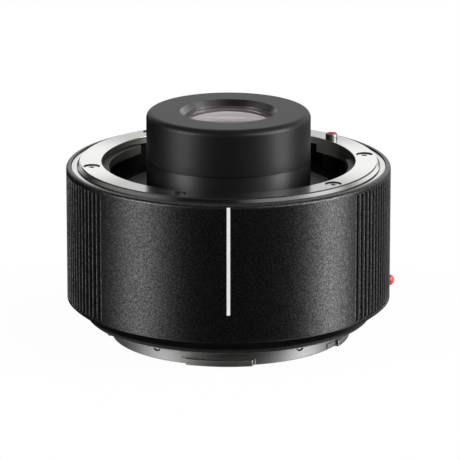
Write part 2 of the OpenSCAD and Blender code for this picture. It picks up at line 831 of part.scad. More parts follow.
module lens_deck() {
  color(satin_black) difference() {
    union() {
      ring(wall_in_r - fit, hood_r + fit, z_deck_foot, z_deck);
      intersection() {
        at_lock() translate([pin_circle, 0, boss_foot]) cylinder(r = boss_r, h = boss_h);
        cylinder(r = wall_in_r - fit, h = z_deck);
      }
      at_lock() translate([pin_circle, 0, boss_foot])
        cylinder(r = neck_r, h = z_tab_foot - neck_gap - boss_foot);
    }
    screw_holes(tube_screw_angles, tube_screw_circle, shank_r, z_deck_foot - past,
      z_deck - thread_end);
    at_lock() {
      translate([pin_circle, 0, spring_foot]) cylinder(r = pin_r + pin_clear, h = z_front);
      translate([cam_in_r - release_travel - boss_r, -slit_w / 2 - slit_gap, slit_foot])
        cube([barrel_r - cam_in_r, slit_w + 2 * slit_gap, cam_up + cam_down + 2 * free_gap]);
    }
    button_opening();
    block_slot(block_in_r, block_out_r + fit, z_deck_foot - past, z_deck + past);
  }
}

module board_ledge() {
  color(satin_black) difference() {
    ring(wall_in_r - fit, ledge_r, z_board - ledge_t, z_board);
    screw_holes(board_screw_angles, board_screw_circle, board_screw_r,
      z_board - ledge_t - past, z_board + past);
    boss_notch(z_board - ledge_t - past, ledge_t + 2 * past);
  }
}

module rear_foot() {
  color(satin_black) difference() {
    union() {
      ring(lip_r - fit, spigot_in_r + foot_bore_gap, z_flange, z_foot_plate + web_t);
      ring(wall_in_r - fit, lip_r - web_in, z_foot_plate, z_foot_plate + web_t);
    }
    screw_holes(flange_screws, flange_screw_circle, shank_r, 0, z_foot_plate + web_t + past);
  }
}

module cavity_liner() {
  color(matt_black) difference() {
    union() {
      ring(liner_out_r, cavity_r, z_deck, z_ring_foot - skirt_gap);
      ring(liner_out_r, hood_r + fit, z_deck, z_floor);
    }
    at_lock() translate([pin_circle, 0, z_deck - past])
      cylinder(r = neck_r + fit, h = floor_drop + 2 * past);
    block_slot(block_in_r, block_out_r + fit, z_deck - past, z_floor + past);
  }
}

module throat_plate() {
  plate_r = hood_r + fit + plate_w;
  color(plate_grey) difference() {
    ring(plate_r, hood_r + fit, z_floor, z_floor + plate_t);
    block_slot(block_in_r, plate_r + past, z_floor - past, z_floor + plate_t + past);
  }
}

module contact_block() {
  color(grain_black) difference() {
    sector(block_out_r, block_in_r, z_block_foot, z_block, block_a0, block_a1);
    for (i = [0 : contact_count - 1]) polar(contact_at(i), contact_circle, 0) {
      translate([0, 0, chamber_foot])
        cylinder(r = chamber_r, h = chamber_top - chamber_foot, $fn = small_fn);
      translate([0, 0, chamber_top - past])
        cylinder(r = contact_r + contact_clear, h = chamber_roof + 2 * past, $fn = small_fn);
    }
  }
}

module contact_pins() {
  color(gold) for (i = [0 : contact_count - 1]) polar(contact_at(i), contact_circle, 0) {
    translate([0, 0, z_contact - contact_r]) sphere(r = contact_r, $fn = small_fn);
    translate([0, 0, z_collar])
      cylinder(r = contact_r, h = z_contact - contact_r - z_collar, $fn = small_fn);
    translate([0, 0, z_collar]) cylinder(r = contact_r + collar_w, h = collar_t, $fn = small_fn);
  }
}

module contact_springs() {
  r_out = chamber_r - contact_spring_gap;
  color(pin_steel) for (i = [0 : contact_count - 1]) polar(contact_at(i), contact_circle, 0)
    ring(r_out, r_out - contact_spring_t, chamber_foot, z_collar, $fn = small_fn);
}

// Flat strip between two heights, at a row of contacts.
module flex(circle, z0, z1) {
  color(amber) rotate([0, 0, contact_angle])
    translate([circle - flex_t / 2, -flex_w / 2, z0]) cube([flex_t, flex_w, z1 - z0]);
}

module front_flex() {
  flex(contact_circle, z_board_top, z_block_foot);
}

module rear_flex() {
  flex(rear_circle, z_foot_plate, z_board);
}

module main_board() {
  color(board_green) difference() {
    ring(wall_in_r - board_gap, tube_r + tube_gap, z_board, z_board_top);
    screw_holes(board_screw_angles, board_screw_circle, board_screw_r,
      z_board - past, z_board_top + past);
    boss_notch(z_board - past, board_t + 2 * past);
  }
}

module board_chips() {
  color(grain_black) for (c = chips)
    polar(c[0], board_mid_r + c[1], z_board_top) translate([0, -c[3] / 2, 0]) cube([c[2], c[3], c[4]]);
}

module board_screws() {
  color(screw_steel) for (a = board_screw_angles)
    polar(a, board_screw_circle, z_board_top + board_head_t)
      screw(board_head_r, board_head_t, board_screw_r, board_t + ledge_t - board_screw_end,
        $fn = small_fn);
}

module rear_contact_block() {
  color(grain_black) difference() {
    sector(spigot_in_r - fit, rear_block_in_r, z_pad_block, z_foot_plate, block_a0, block_a1);
    for (i = [0 : contact_count - 1]) polar(contact_at(i), rear_circle, 0)
      cylinder(r = pad_r, h = z_pad_block + pad_t, $fn = small_fn);
  }
}

module rear_contact_pads() {
  color(gold) for (i = [0 : contact_count - 1]) polar(contact_at(i), rear_circle, pad_sink)
    cylinder(r = pad_r, h = pad_proud + pad_t, $fn = small_fn);
}

module rear_bayonet() {
  head_depth = flange_head_t + head_gap;
  color(steel) difference() {
    union() {
      ring(flange_r, spigot_in_r, z_rear, z_flange);
      rotate_extrude() polygon([[spigot_in_r, 0], [spigot_r - foot_bevel, 0],
        [spigot_r, foot_bevel], [spigot_r, z_rear + past], [spigot_in_r, z_rear + past]]);
      for (i = [0 : len(male_tabs) - 1]) {
        s = male_tabs[i];
        ramp = male_ramps[i];
        sector(male_tab_r, tab_root_r, 0, male_tab_h, s[0], s[1]);
        sector(spigot_r + ramp_reach, tab_root_r, 0, male_tab_h, s[0] - ramp[0], s[1] + ramp[1]);
      }
    }
    for (a = flange_screws) polar(a, flange_screw_circle, z_rear - past)
      cylinder(r = flange_head_r + head_gap, h = head_depth + past);
    screw_holes(flange_screws, flange_screw_circle, shank_r, z_rear, z_flange + past);
    for (a = side_screws) rotate([0, 0, a])
      rod_x(side_screw_r, spigot_in_r - past, spigot_r + past, side_screw_z);
    at_lock() translate([pin_circle, 0, z_rear - past])
      cylinder(r = pin_r + lock_hole_clear, h = flange_t + 2 * past);
  }
}

module rear_flange_screws() {
  color(screw_steel) for (a = flange_screws)
    polar(a, flange_screw_circle, z_rear + head_gap) rotate([180, 0, 0])
      screw(flange_head_r, flange_head_t, shank_r, flange_shank_len, $fn = small_fn);
}

module spigot_screws() {
  x_top = spigot_r - side_screw_sink;
  color(screw_steel) for (a = side_screws) rotate([0, 0, a]) difference() {
    rod_x(side_screw_r - side_screw_fit, spigot_in_r - side_screw_in, x_top, side_screw_z);
    translate([x_top - side_slot_depth, -side_screw_r, side_screw_z - side_slot_w / 2])
      cube([side_slot_depth + past, 2 * side_screw_r, side_slot_w]);
  }
}

module rear_baffle() {
  z0 = side_screw_z - baffle_drop;
  color(matt_black) difference() {
    translate([0, 0, z0]) cylinder(r = spigot_in_r - fit, h = z_flange - z0);
    translate([0, 0, z0 + baffle_t]) cylinder(r = rear_block_in_r - baffle_rim, h = z_flange);
    translate([-window_w / 2, -window_h / 2, 0]) cube([window_w, window_h, z_flange + past]);
    block_slot(rear_block_in_r, spigot_r, z0 - past, z_flange + past);
    for (a = side_screws) rotate([0, 0, a])
      rod_x(side_screw_r - side_screw_fit, spigot_in_r - side_screw_in, spigot_r, side_screw_z);
  }
}

module front_hood() {
  z0 = z_seam + seam_h;
  h = z_hood - z0;
  color(satin_black) difference() {
    translate([0, 0, z0]) rotate_extrude() {
      square([hood_r, h - hood_round]);
      translate([0, h - hood_round]) square([hood_r - hood_round, hood_round]);
      translate([hood_r - hood_round, h - hood_round]) quarter(hood_round);
    }
    translate([0, 0, z0 - past]) cylinder(r = tongue_r + fit, h = z_tube_top - z0 + past);
    translate([0, 0, z_tube_top - past])
      cylinder(r = retainer_out_r + fit, h = retainer_t + past);
    cylinder(r = mouth_r - mouth_bevel, h = z_hood);
    translate([0, 0, z_hood - mouth_depth])
      cylinder(r1 = mouth_r - mouth_bevel, r2 = mouth_r, h = mouth_depth);
  }
}

module lens_barrel() {
  color(satin_black) difference() {
    union() {
      translate([0, 0, z_tube_foot]) cylinder(r = tube_r, h = z_deck_foot - z_tube_foot);
      translate([0, 0, z_deck_foot - tube_flange_t]) cylinder(r = tube_flange_r, h = tube_flange_t);
      translate([0, 0, z_deck_foot]) cylinder(r = hood_r, h = z_seam - z_deck_foot);
      translate([0, 0, z_seam]) cylinder(r = hood_r - seam_depth, h = seam_h);
      translate([0, 0, z_seam]) cylinder(r = tongue_r, h = z_tube_top - z_seam);
    }
    translate([0, 0, z_shoulder]) cylinder(r = lens_front_r + lens_gap, h = z_hood);
    translate([0, 0, z_shoulder_foot - past]) cylinder(r = shoulder_r, h = shoulder_t + 2 * past);
    translate([0, 0, z_tube_foot - past])
      cylinder(r = lens_rear_r + lens_gap, h = z_shoulder_foot - z_tube_foot + past);
    screw_holes(tube_screw_angles, tube_screw_circle, shank_r, 0, z_deck_foot);
  }
}

module lens_barrel_screws() {
  color(screw_steel) for (a = tube_screw_angles)
    polar(a, tube_screw_circle, z_deck_foot - tube_flange_t - head_t) rotate([180, 0, 0])
      screw(tube_head_r, head_t, shank_r, tube_flange_t + tube_screw_bite, $fn = small_fn);
}

module front_retainer() {
  color(ring_brown) ring(retainer_out_r, retainer_in_r, z_tube_top, z_retainer);
}

module rear_retainer() {
  color(matt_black) ring(lens_rear_r, lens_rear_r - rear_retainer_w,
    z_rear_edge - rear_retainer_h, z_rear_edge);
}

// Ring that keeps two lens groups apart.
module spacer(r, z0, z1) {
  color(matt_black) ring(r, r - spacer_wall, z0, z1);
}

module lens_1a() {
  lens(z_l1, l1_t, lens_front_r, l1_rad, -l1_bond);
}

module lens_1b() {
  lens(z_l1b, l1b_t, lens_front_r, -l1_bond, -l1b_rad);
}

module spacer_1() {
  spacer(lens_front_r, z_l2 + sag(l2_rad, lens_front_r),
    z_l1_foot + sag(l1b_rad, lens_front_r - spacer_wall));
}

module lens_2a() {
  lens(z_l2, l2_t, lens_front_r, -l2_rad, l2_bond);
}

module lens_2b() {
  lens(z_l2b, l2b_t, lens_front_r, l2_bond, l2b_rad);
}

module spacer_2() {
  spacer(lens_rear_r, z_l3 - sag(l3_rad, lens_rear_r - spacer_wall), z_shoulder_foot);
}

module lens_3a() {
  lens(z_l3, l3_t, lens_rear_r, l3_rad, -l3_bond);
}

module lens_3b() {
  lens(z_l3b, l3b_t, lens_rear_r, -l3_bond, l3b_rad);
}

module spacer_3() {
  spacer(lens_rear_r, z_l4 + sag(l4_rad, lens_rear_r), z_l3_foot - sag(l3b_rad, lens_rear_r));
}

module lens_4a() {
  lens(z_l4, l4_t, lens_rear_r, -l4_rad, l4_bond);
}

module lens_4b() {
  lens(z_l4b, l4b_t, lens_rear_r, l4_bond, -l4b_rad);
}

outer_barrel();
rear_trim_ring();
rear_seal();
front_seat_ring();
front_mount_ring();
front_mount_screws();
bayonet_springs();
lock_pin();
lock_pin_tip();
lock_cross_pin();
lock_spring();
release_button();
release_plate();
chassis();
front_collar();
lens_deck();
board_ledge();
rear_foot();
cavity_liner();
throat_plate();
contact_block();
contact_pins();
contact_springs();
front_flex();
main_board();
board_chips();
board_screws();
rear_flex();
rear_contact_block();
rear_contact_pads();
rear_bayonet();
rear_flange_screws();
spigot_screws();
rear_baffle();
front_hood();
lens_barrel();
lens_barrel_screws();
front_retainer();
lens_1a();
lens_1b();
spacer_1();
lens_2a();
lens_2b();
spacer_2();
lens_3a();
lens_3b();
spacer_3();
lens_4a();
lens_4b();
rear_retainer();
index_dome();
index_line();
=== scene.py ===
# %% [markdown]
# # A camera teleconverter, dressed over its CAD frame
# The object is a short black tube that goes between a camera and a lens. It has a steel
# bayonet at each end, and a hooded lens block stands out of the front one. The CAD model
# already fixes every size, so this script loads it as a frame and lays finer skins and
# finishes over it. Lengths are written in millimetres, and MM turns them into metres. Only
# the named inputs of the Geometry Nodes trees are written in metres.

# %% Load the frame
import json
import math
import bpy
import bmesh
import numpy as np
from mathutils import Matrix, Vector


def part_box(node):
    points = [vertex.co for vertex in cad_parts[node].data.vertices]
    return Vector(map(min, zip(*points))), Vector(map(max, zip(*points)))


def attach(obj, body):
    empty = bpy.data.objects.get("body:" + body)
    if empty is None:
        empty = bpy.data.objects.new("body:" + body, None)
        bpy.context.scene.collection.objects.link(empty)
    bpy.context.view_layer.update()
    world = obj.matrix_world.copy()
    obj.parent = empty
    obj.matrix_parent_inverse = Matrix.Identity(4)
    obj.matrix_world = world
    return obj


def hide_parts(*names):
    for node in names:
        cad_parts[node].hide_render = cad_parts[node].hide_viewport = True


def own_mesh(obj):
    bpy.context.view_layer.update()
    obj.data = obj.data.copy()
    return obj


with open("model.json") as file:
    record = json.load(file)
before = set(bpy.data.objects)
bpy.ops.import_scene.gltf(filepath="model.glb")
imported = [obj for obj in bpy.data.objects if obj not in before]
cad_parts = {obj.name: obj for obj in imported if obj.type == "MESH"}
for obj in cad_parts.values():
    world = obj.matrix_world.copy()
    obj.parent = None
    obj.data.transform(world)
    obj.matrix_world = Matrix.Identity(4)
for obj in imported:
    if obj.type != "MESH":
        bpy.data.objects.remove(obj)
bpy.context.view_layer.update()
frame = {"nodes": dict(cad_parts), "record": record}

MM = 0.001
nodes = frame["nodes"]

# %% [markdown]
# ## Node maths as plain expressions
# Shader and Geometry Nodes trees are long to write link by link. One small class wraps
# a socket, so that `1 - mask * 0.3` adds the Math nodes by itself, and one function adds
# any other node. The same class serves both kinds of tree.

# %% Sockets that can be added and multiplied
class Wire:
    """An output socket of a node; arithmetic on it adds Math nodes."""

    def __init__(self, tree, node, out=0):
        self.tree, self.node, self.socket = tree, node, node.outputs[out]

    def other(self, out):
        return Wire(self.tree, self.node, out)

    def math(self, operation, *values):
        return add(self.tree, "ShaderNodeMath", {"operation": operation},
                   dict(enumerate(values)))

    def __add__(self, b): return self.math("ADD", self, b)
    def __radd__(self, b): return self.math("ADD", b, self)
    def __sub__(self, b): return self.math("SUBTRACT", self, b)
    def __rsub__(self, b): return self.math("SUBTRACT", b, self)
    def __mul__(self, b): return self.math("MULTIPLY", self, b)
    def __rmul__(self, b): return self.math("MULTIPLY", b, self)
    def __truediv__(self, b): return self.math("DIVIDE", self, b)
    def __rtruediv__(self, b): return self.math("DIVIDE", b, self)
    def __neg__(self): return self.math("MULTIPLY", self, -1.0)
    def __abs__(self): return self.math("ABSOLUTE", self)
    def __gt__(self, b): return self.math("GREATER_THAN", self, b)
    def __lt__(self, b): return self.math("LESS_THAN", self, b)


def add(tree, kind, settings=None, sockets=None, out=0):
    """Adds a node: its settings first, then the values or links of its sockets."""
    node = tree.nodes.new(kind)
    for key, value in (settings or {}).items():
        setattr(node, key, value)
    for key, value in (sockets or {}).items():
        for one in value if isinstance(value, list) else [value]:
            if isinstance(one, Wire):
                tree.links.new(one.socket, node.inputs[key])
            else:
                node.inputs[key].default_value = one
    return Wire(tree, node, out)


print("sockets now take + - * / > < and abs")

# %% [markdown]
# ### Small rules that come back
# A finish, a groove or a light often starts at one place and ends at another. Three short
# functions give a smooth step, a window with two smooth edges, and a hump. Two more split
# a vector into its coordinates and measure the distance from the optical axis.

# %% Steps, windows, humps and coordinates
def soft_step(x, low, high):
    """0 at low and 1 at high, with a smooth change between."""
    return add(x.tree, "ShaderNodeMapRange", {"interpolation_type": "SMOOTHSTEP"},
               {0: x, 1: low, 2: high, 3: 0.0, 4: 1.0})


def window(x, low, full, fade, high):
    """1 from full to fade, 0 below low and above high, smooth between."""
    return soft_step(x, low, full) * (1 - soft_step(x, fade, high))


def hump(x, centre, width):
    """1 at the centre, falling off smoothly on both sides."""
    aside = (x - centre) / width
    return x.math("EXPONENT", -(aside * aside))


def split(tree, spot):
    xyz = add(tree, "ShaderNodeSeparateXYZ", None, {0: spot})
    return xyz, xyz.other(1), xyz.other(2)


def off_axis(x, y):
    return x.math("SQRT", x * x + y * y)


print("rules: soft_step, window, hump, split, off_axis")

# %% [markdown]
# ## Turning a piece
# Nearly every piece here is turned on a lathe, so one helper spins a closed profile
# about the optical axis. A corner may carry a radius, because a real turned edge is never
# perfectly sharp and it is the small round that catches the light.

# %% Lathe helpers
def sweep(whole, steps):
    """Equal steps from 0 up to the whole."""
    return [whole * k / steps for k in range(steps + 1)]


def rounded(corners, steps=5):
    """Profile points (r, z) from corners (r, z) or (r, z, radius)."""
    points = []
    for i, corner in enumerate(corners):
        here = Vector(corner[:2])
        if len(corner) == 2:
            points.append(tuple(here))
            continue
        back = (Vector(corners[i - 1][:2]) - here).normalized()
        ahead = (Vector(corners[(i + 1) % len(corners)][:2]) - here).normalized()
        half = back.angle(ahead) / 2
        centre = here + (back + ahead).normalized() * corner[2] / math.sin(half)
        start = here + back * corner[2] / math.tan(half) - centre
        end = here + ahead * corner[2] / math.tan(half) - centre
        first = math.atan2(start.y, start.x)
        turn = (math.atan2(end.y, end.x) - first + math.pi) % (2 * math.pi) - math.pi
        for part in sweep(turn, steps):
            points.append((centre.x + corner[2] * math.cos(first + part),
                           centre.y + corner[2] * math.sin(first + part)))
    return points


def as_object(name, bm):
    bmesh.ops.remove_doubles(bm, verts=bm.verts, dist=1e-8)
    loose = [edge for edge in bm.edges if not edge.link_faces]
    bmesh.ops.delete(bm, geom=loose, context="EDGES")
    bmesh.ops.recalc_face_normals(bm, faces=bm.faces)
    mesh = bpy.data.meshes.new(name)
    bm.to_mesh(mesh)
    bm.free()
    obj = bpy.data.objects.new(name, mesh)
    bpy.context.collection.objects.link(obj)
    return obj


def turned(name, profile, steps=360, start=0.0, end=360.0):
    """A closed profile spun about Z, right round or from start to end in degrees."""
    full = end - start >= 360
    bm = bmesh.new()
    rings = []
    for i in range(steps if full else steps + 1):
        angle = math.radians(start + (end - start) * i / steps)
        rings.append([bm.verts.new((r * MM * math.cos(angle), r * MM * math.sin(angle), z * MM))
                      for r, z in profile])
    for i in range(steps):
        near, far = rings[i], rings[(i + 1) % len(rings)]
        for k in range(len(profile)):
            bm.faces.new((near[k], far[k], far[k - 1], near[k - 1]))
    if not full:
        bm.faces.new(rings[0])
        bm.faces.new(rings[-1][::-1])
    return as_object(name, bm)


print("lathe helpers: sweep, rounded, turned")

# %% [markdown]
# ## Moving, joining and cutting
# A piece is moved by its mesh, so that its object stays at the origin of the frame. Holes
# are cut with exact booleans, which keep edges crisp, and `settle` replaces a piece's mesh
# by what its modifiers gave, because only plain meshes are handed on.

# %% Helpers that move, join and cut
def place(obj, *moves):
    """Moves the mesh itself, so that the object stays at the origin."""
    for move in moves:
        obj.data.transform(move)
    return obj


def about_z(degrees):
    return Matrix.Rotation(math.radians(degrees), 4, "Z")


def settle(obj):
    """Replaces the mesh by what the modifiers make of it."""
    graph = bpy.context.evaluated_depsgraph_get()
    mesh = bpy.data.meshes.new_from_object(obj.evaluated_get(graph), depsgraph=graph)
    obj.modifiers.clear()
    obj.data = mesh
    return obj


def join(name, *objs):
    """One object from several: separate cutters, or closed shells laid over each other."""
    bm = bmesh.new()
    for obj in objs:
        bm.from_mesh(obj.data)
        bpy.data.objects.remove(obj)
    return as_object(name, bm)


def carve(obj, tool, operation="DIFFERENCE"):
    cut = obj.modifiers.new(operation, "BOOLEAN")
    cut.operation, cut.solver, cut.object = operation, "EXACT", tool
    settle(obj)
    bpy.data.objects.remove(tool)
    return obj


print("mesh helpers: place, about_z, settle, join, carve")

# %% [markdown]
# ## Finishes
# Each finish is a Principled shader with its constants set on the sockets and its grain
# made from procedural textures. The textures use Object coordinates at the real scale, so
# a grain of a third of a millimetre is a third of a millimetre on every piece.

# %% One finish
class Finish:
    """A Principled material whose sockets are fed by wires."""

    def __init__(self, name, **constants):
        self.material = bpy.data.materials.new(name)
        self.material.use_nodes = True
        self.tree = self.material.node_tree
        self.skin = self.tree.nodes["Principled BSDF"]
        for label, value in constants.items():
            self.skin.inputs[label.replace("_", " ")].default_value = value

    def add(self, kind, settings=None, sockets=None, out=0):
        return add(self.tree, kind, settings, sockets, out)

    def spot(self):
        """Object coordinates."""
        return self.add("ShaderNodeTexCoord", out=3)

    def noise(self, size_mm, detail=2.0, rough=0.5, where=None):
        return self.add("ShaderNodeTexNoise", None, {
            "Vector": where or self.spot(), "Scale": 1 / (size_mm * MM), "Detail": detail,
            "Roughness": rough})

    def blend(self, factor, first, second, how="MIX"):
        """A mix of two colours, each a triple or a wire."""
        a, b = (end if isinstance(end, Wire) else (*end, 1) for end in (first, second))
        return self.add("ShaderNodeMix", {"data_type": "RGBA", "blend_type": how},
                        {0: factor, 6: a, 7: b}, 2)

    def bump(self, height, depth_mm, strength=1.0):
        self.set("Normal", self.add("ShaderNodeBump", None, {
            "Height": height, "Distance": depth_mm * MM, "Strength": strength}))

    def set(self, label, wire):
        self.tree.links.new(wire.socket, self.skin.inputs[label])

    def feed(self, label):
        """The wire that feeds a socket now."""
        link = self.skin.inputs[label].links[0]
        return Wire(self.tree, link.from_node, link.from_node.outputs[:].index(link.from_socket))


print("finish: a Principled shader with wires")

# %% [markdown]
# ### Two recipes
# Two recipes cover most pieces: a moulded or painted skin with a grain, and a turned metal
# whose fine rings follow the radius and the height. In both, a second and much larger noise
# stands for wear or staining, since an even surface looks new and false.

# %% The two recipes
WEAR_TO_GRAIN, STAIN_MM = 23, 7.0


def coated(name, dark, light, rough, spread, grain_mm, depth_mm, specular):
    """Paint, plastic or rubber: grain in the colour, the roughness and the relief."""
    skin = Finish(name, Specular_IOR_Level=specular)
    grain = skin.noise(grain_mm)
    wear = skin.noise(grain_mm * WEAR_TO_GRAIN, 3.0)
    skin.set("Base Color", skin.blend(grain * 0.6 + wear * 0.4, dark, light))
    skin.set("Roughness", rough + (grain - 0.5) * spread + (wear - 0.5) * spread)
    skin.bump(grain, depth_mm)
    return skin


def lathed(name, dark, light, rough, spread, pitch_mm, depth_mm):
    """Off the lathe: fine rings by radius and height, and a little staining."""
    skin = Finish(name, Metallic=1.0)
    x, y, z = split(skin.tree, skin.spot())
    section = skin.add("ShaderNodeCombineXYZ", None, {0: off_axis(x, y), 2: z})
    rings = skin.noise(pitch_mm, 2.0, 0.6, section)
    stain = skin.noise(STAIN_MM, 3.0)
    skin.set("Base Color", skin.blend(rings * 0.5 + stain * 0.5, dark, light))
    skin.set("Roughness", rough + (rings - 0.5) * spread + (stain - 0.5) * spread * 0.6)
    skin.bump(rings, depth_mm)
    return skin


print("recipes: coated, lathed")

# %% [markdown]
# ### The barrel's grainy paint
# The barrel carries a black paint with a fine sparkling grain. Relief alone would look
# like orange peel, so the same noise also lays a thin clear coat over the grains: those
# that carry it shine, and the paint between them stays dull.

# %% Grain paint
GRAIN, CLOUD = 0.34, 6.0
finish = {}
paint = Finish("grain_paint", Specular_IOR_Level=0.26, Coat_Roughness=0.36)
grain = paint.noise(GRAIN, 1.0)
cloud = paint.noise(CLOUD, 3.0)
paint.set("Base Color", paint.blend(grain * 0.7 + cloud * 0.3, (0.0004, 0.0004, 0.0005),
                                    (0.0020, 0.0020, 0.0022)))
paint.set("Roughness", 0.36 + (cloud - 0.5) * 0.05)
paint.set("Coat Weight", soft_step(grain, 0.35, 0.73))
paint.bump(grain, 0.03, 0.7)
finish["grain_black"] = paint
print("grain of", GRAIN, "mm")

# %% [markdown]
# ### Plain blacks, rubber, plastics and marks
# The other blacks differ mostly in gloss: the trim ring is satin, the buttons and blocks
# are plastic, the inside of the throat is flat so that it swallows stray light. The red top
# of the lock pin is a dull lacquer, the red dome is glossier, and the index line is white
# ink. One table holds them all, because only the values differ.

# %% Coated finishes
# slot: (material, dark, light, roughness, its spread, grain mm, depth mm, specular)
COATS = {
    "satin_black": ("satin_trim", (0.001, 0.001, 0.0011), (0.0025, 0.0025, 0.0026),
                    0.34, 0.08, 0.12, 0.002, 0.45),
    "chassis_black": ("chassis_casting", (0.010, 0.010, 0.011), (0.022, 0.022, 0.023),
                      0.55, 0.15, 0.35, 0.02, 0.4),
    "matt_black": ("flat_black", (0.0025, 0.0025, 0.0025), (0.006, 0.006, 0.006),
                   0.85, 0.10, 0.10, 0.010, 0.15),
    "block_black": ("filled_plastic", (0.006, 0.006, 0.006), (0.014, 0.014, 0.014),
                    0.50, 0.15, 0.15, 0.004, 0.4),
    "button_black": ("button_plastic", (0.006, 0.006, 0.0065), (0.013, 0.013, 0.0135),
                     0.42, 0.10, 0.10, 0.004, 0.45),
    "seal_rubber": ("seal_rubber", (0.004, 0.004, 0.004), (0.010, 0.010, 0.010),
                    0.75, 0.12, 0.12, 0.006, 0.25),
    "red": ("red_lacquer", (0.46, 0.008, 0.010), (0.62, 0.014, 0.015),
            0.45, 0.08, 0.25, 0.002, 0.08),
    "mark_white": ("white_ink", (0.54, 0.54, 0.53), (0.64, 0.64, 0.63),
                   0.55, 0.12, 0.09, 0.004, 0.3),
    "plate_grey": ("grey_plate", (0.030, 0.030, 0.030), (0.055, 0.055, 0.054),
                   0.55, 0.12, 0.10, 0.004, 0.5),
    "flex_amber": ("flex_film", (0.26, 0.10, 0.020), (0.42, 0.18, 0.035),
                   0.30, 0.10, 0.60, 0.003, 0.5),
    "board_green": ("solder_mask", (0.006, 0.060, 0.028), (0.012, 0.105, 0.050),
                    0.35, 0.12, 0.50, 0.006, 0.5),
    "ring_brown": ("ring_anodise", (0.045, 0.036, 0.031), (0.065, 0.052, 0.045),
                   0.38, 0.08, 0.10, 0.003, 0.5),
}
for slot, recipe in COATS.items():
    finish[slot] = coated(*recipe)
gloss_red = coated("gloss_red", (0.44, 0.016, 0.018), (0.58, 0.024, 0.026),
                   0.40, 0.08, 0.25, 0.002, 0.6)
print("coated finishes:", len(COATS) + 1)

# %% [markdown]
# ### Metals
# The two mounts are turned from steel, the screws are plated, the lock pin is darker, and
# the contacts are gold flashed. All keep the faint rings of the tool, because a mirror
# without them reads as plastic. The rear spigot's steel is brushed, and its colour is painted
# darker as shade.

# %% Metal finishes
# slot: (material, dark, light, roughness, its spread, ring pitch mm, depth mm)
METALS = {
    "steel": ("mount_steel", (0.62, 0.615, 0.60), (0.78, 0.775, 0.76),
              0.22, 0.10, 0.11, 0.0012),
    "screw_steel": ("screw_plating", (0.60, 0.595, 0.58), (0.76, 0.755, 0.74),
                    0.26, 0.12, 0.09, 0.002),
    "pin_steel": ("pin_polish", (0.20, 0.195, 0.185), (0.28, 0.273, 0.26),
                  0.44, 0.08, 0.07, 0.001),
    "spring_steel": ("spring_temper", (0.42, 0.40, 0.36), (0.60, 0.58, 0.53),
                     0.32, 0.12, 0.20, 0.002),
    "gold": ("contact_gold", (0.80, 0.52, 0.16), (0.95, 0.68, 0.27),
             0.20, 0.10, 0.10, 0.001),
}
for slot, recipe in METALS.items():
    finish[slot] = lathed(*recipe)
# The spigot's brushed steel is painted darker as shade, since it sits low under the barrel.
spigot_shaded_steel = lathed("spigot_steel_painted_shade", (0.19, 0.188, 0.184), (0.27, 0.267, 0.26),
                 0.50, 0.12, 0.16, 0.0015)
print("lathe finishes:", len(METALS) + 1)

# %% [markdown]
# ### The ringed black of the hood and the lens barrel
# Both are cut with rings too fine to see, and the rings' flanks look a little upwards. So
# they mirror the lights above the rim of the throat, not the dark floor. A steady fall of
# the bump's height with z stands for those flanks. Inside the hood's opening the bevel is
# polished, which a coat gives, out to the bevel's radius.

# %% Ringed black
BEVEL_R, BEVEL_FADE = 10.9, 0.2
HOOD_FLANK, TUBE_FLANK, TUBE_RINGS_TOP, NO_END = 0.12, 0.25, 41.2, 60.0


def ringed(name, dark, light, rough, flank, top_mm):
    """Black off the lathe: up to a height, the flanks of its rings lean the gloss upwards."""
    skin = Finish(name, Specular_IOR_Level=0.26, Coat_Roughness=0.25, Coat_IOR=1.8)
    x, y, level = split(skin.tree, skin.spot())
    grain = skin.noise(0.08)
    skin.set("Coat Weight", 1 - soft_step(off_axis(x, y), BEVEL_R * MM,
                                          (BEVEL_R + BEVEL_FADE) * MM))
    skin.set("Base Color", skin.blend(grain, dark, light))
    skin.set("Roughness", rough + (grain - 0.5) * 0.06)
    lean = level.math("MINIMUM", level, top_mm * MM) * (-flank / MM)
    skin.bump(lean + grain * 0.002, 1.0)
    return skin


finish["hood_black"] = ringed("hood_anodise", (0.001, 0.001, 0.0011),
                              (0.0025, 0.0025, 0.0026), 0.44, HOOD_FLANK, NO_END)
tube_black = ringed("tube_anodise", (0.0006, 0.0006, 0.0007), (0.0016, 0.0016, 0.0017),
                    0.36, TUBE_FLANK, TUBE_RINGS_TOP)
print("flanks lean", [round(math.degrees(math.atan(f)), 1) for f in (HOOD_FLANK, TUBE_FLANK)],
      "degrees")

# %% [markdown]
# ### The mount ring's painted sheen and painted shade
# The base colour of the front ring's face is painted lighter at its left and right, a painted
# sheen where the face would mirror the side lights. A number on each face paints shade into
# the steel: 0 is bright steel, a half is olive grey and 1 is black. The recesses, the groove
# and the underside are painted black as shadow, and the throat's wall is dulled with painted
# shade. The finish reads the number as an attribute. The half-shaded wall has flanks that
# look upwards, as the lens barrel has.

# %% Steel with painted sheen and painted shade
PAINTED_SHEEN_LOW, PAINTED_SHEEN_RISE, PAINTED_SHEEN_FROM, PAINTED_SHEEN_TO = 0.57, 0.56, 0.74, 0.99
# OLIVE and SHADOW are the painted colours of half-shaded and fully shaded faces.
OLIVE, SHADOW, THROAT_FLANK = (0.62, 0.61, 0.55), (0.004, 0.004, 0.0035), 0.16
mount_steel = lathed("mount_ring_steel_painted_light", (0.64, 0.635, 0.62), (0.80, 0.795, 0.78),
                     0.17, 0.08, 0.11, 0.0012)
shade = mount_steel.add("ShaderNodeAttribute", {"attribute_name": "shade"}, out=2)
x, y, level = split(mount_steel.tree, mount_steel.spot())
# Painted sheen: the base colour gets lighter towards the left and right of the ring.
painted_sheen = PAINTED_SHEEN_LOW + soft_step(abs(x) / off_axis(x, y), PAINTED_SHEEN_FROM, PAINTED_SHEEN_TO) * PAINTED_SHEEN_RISE
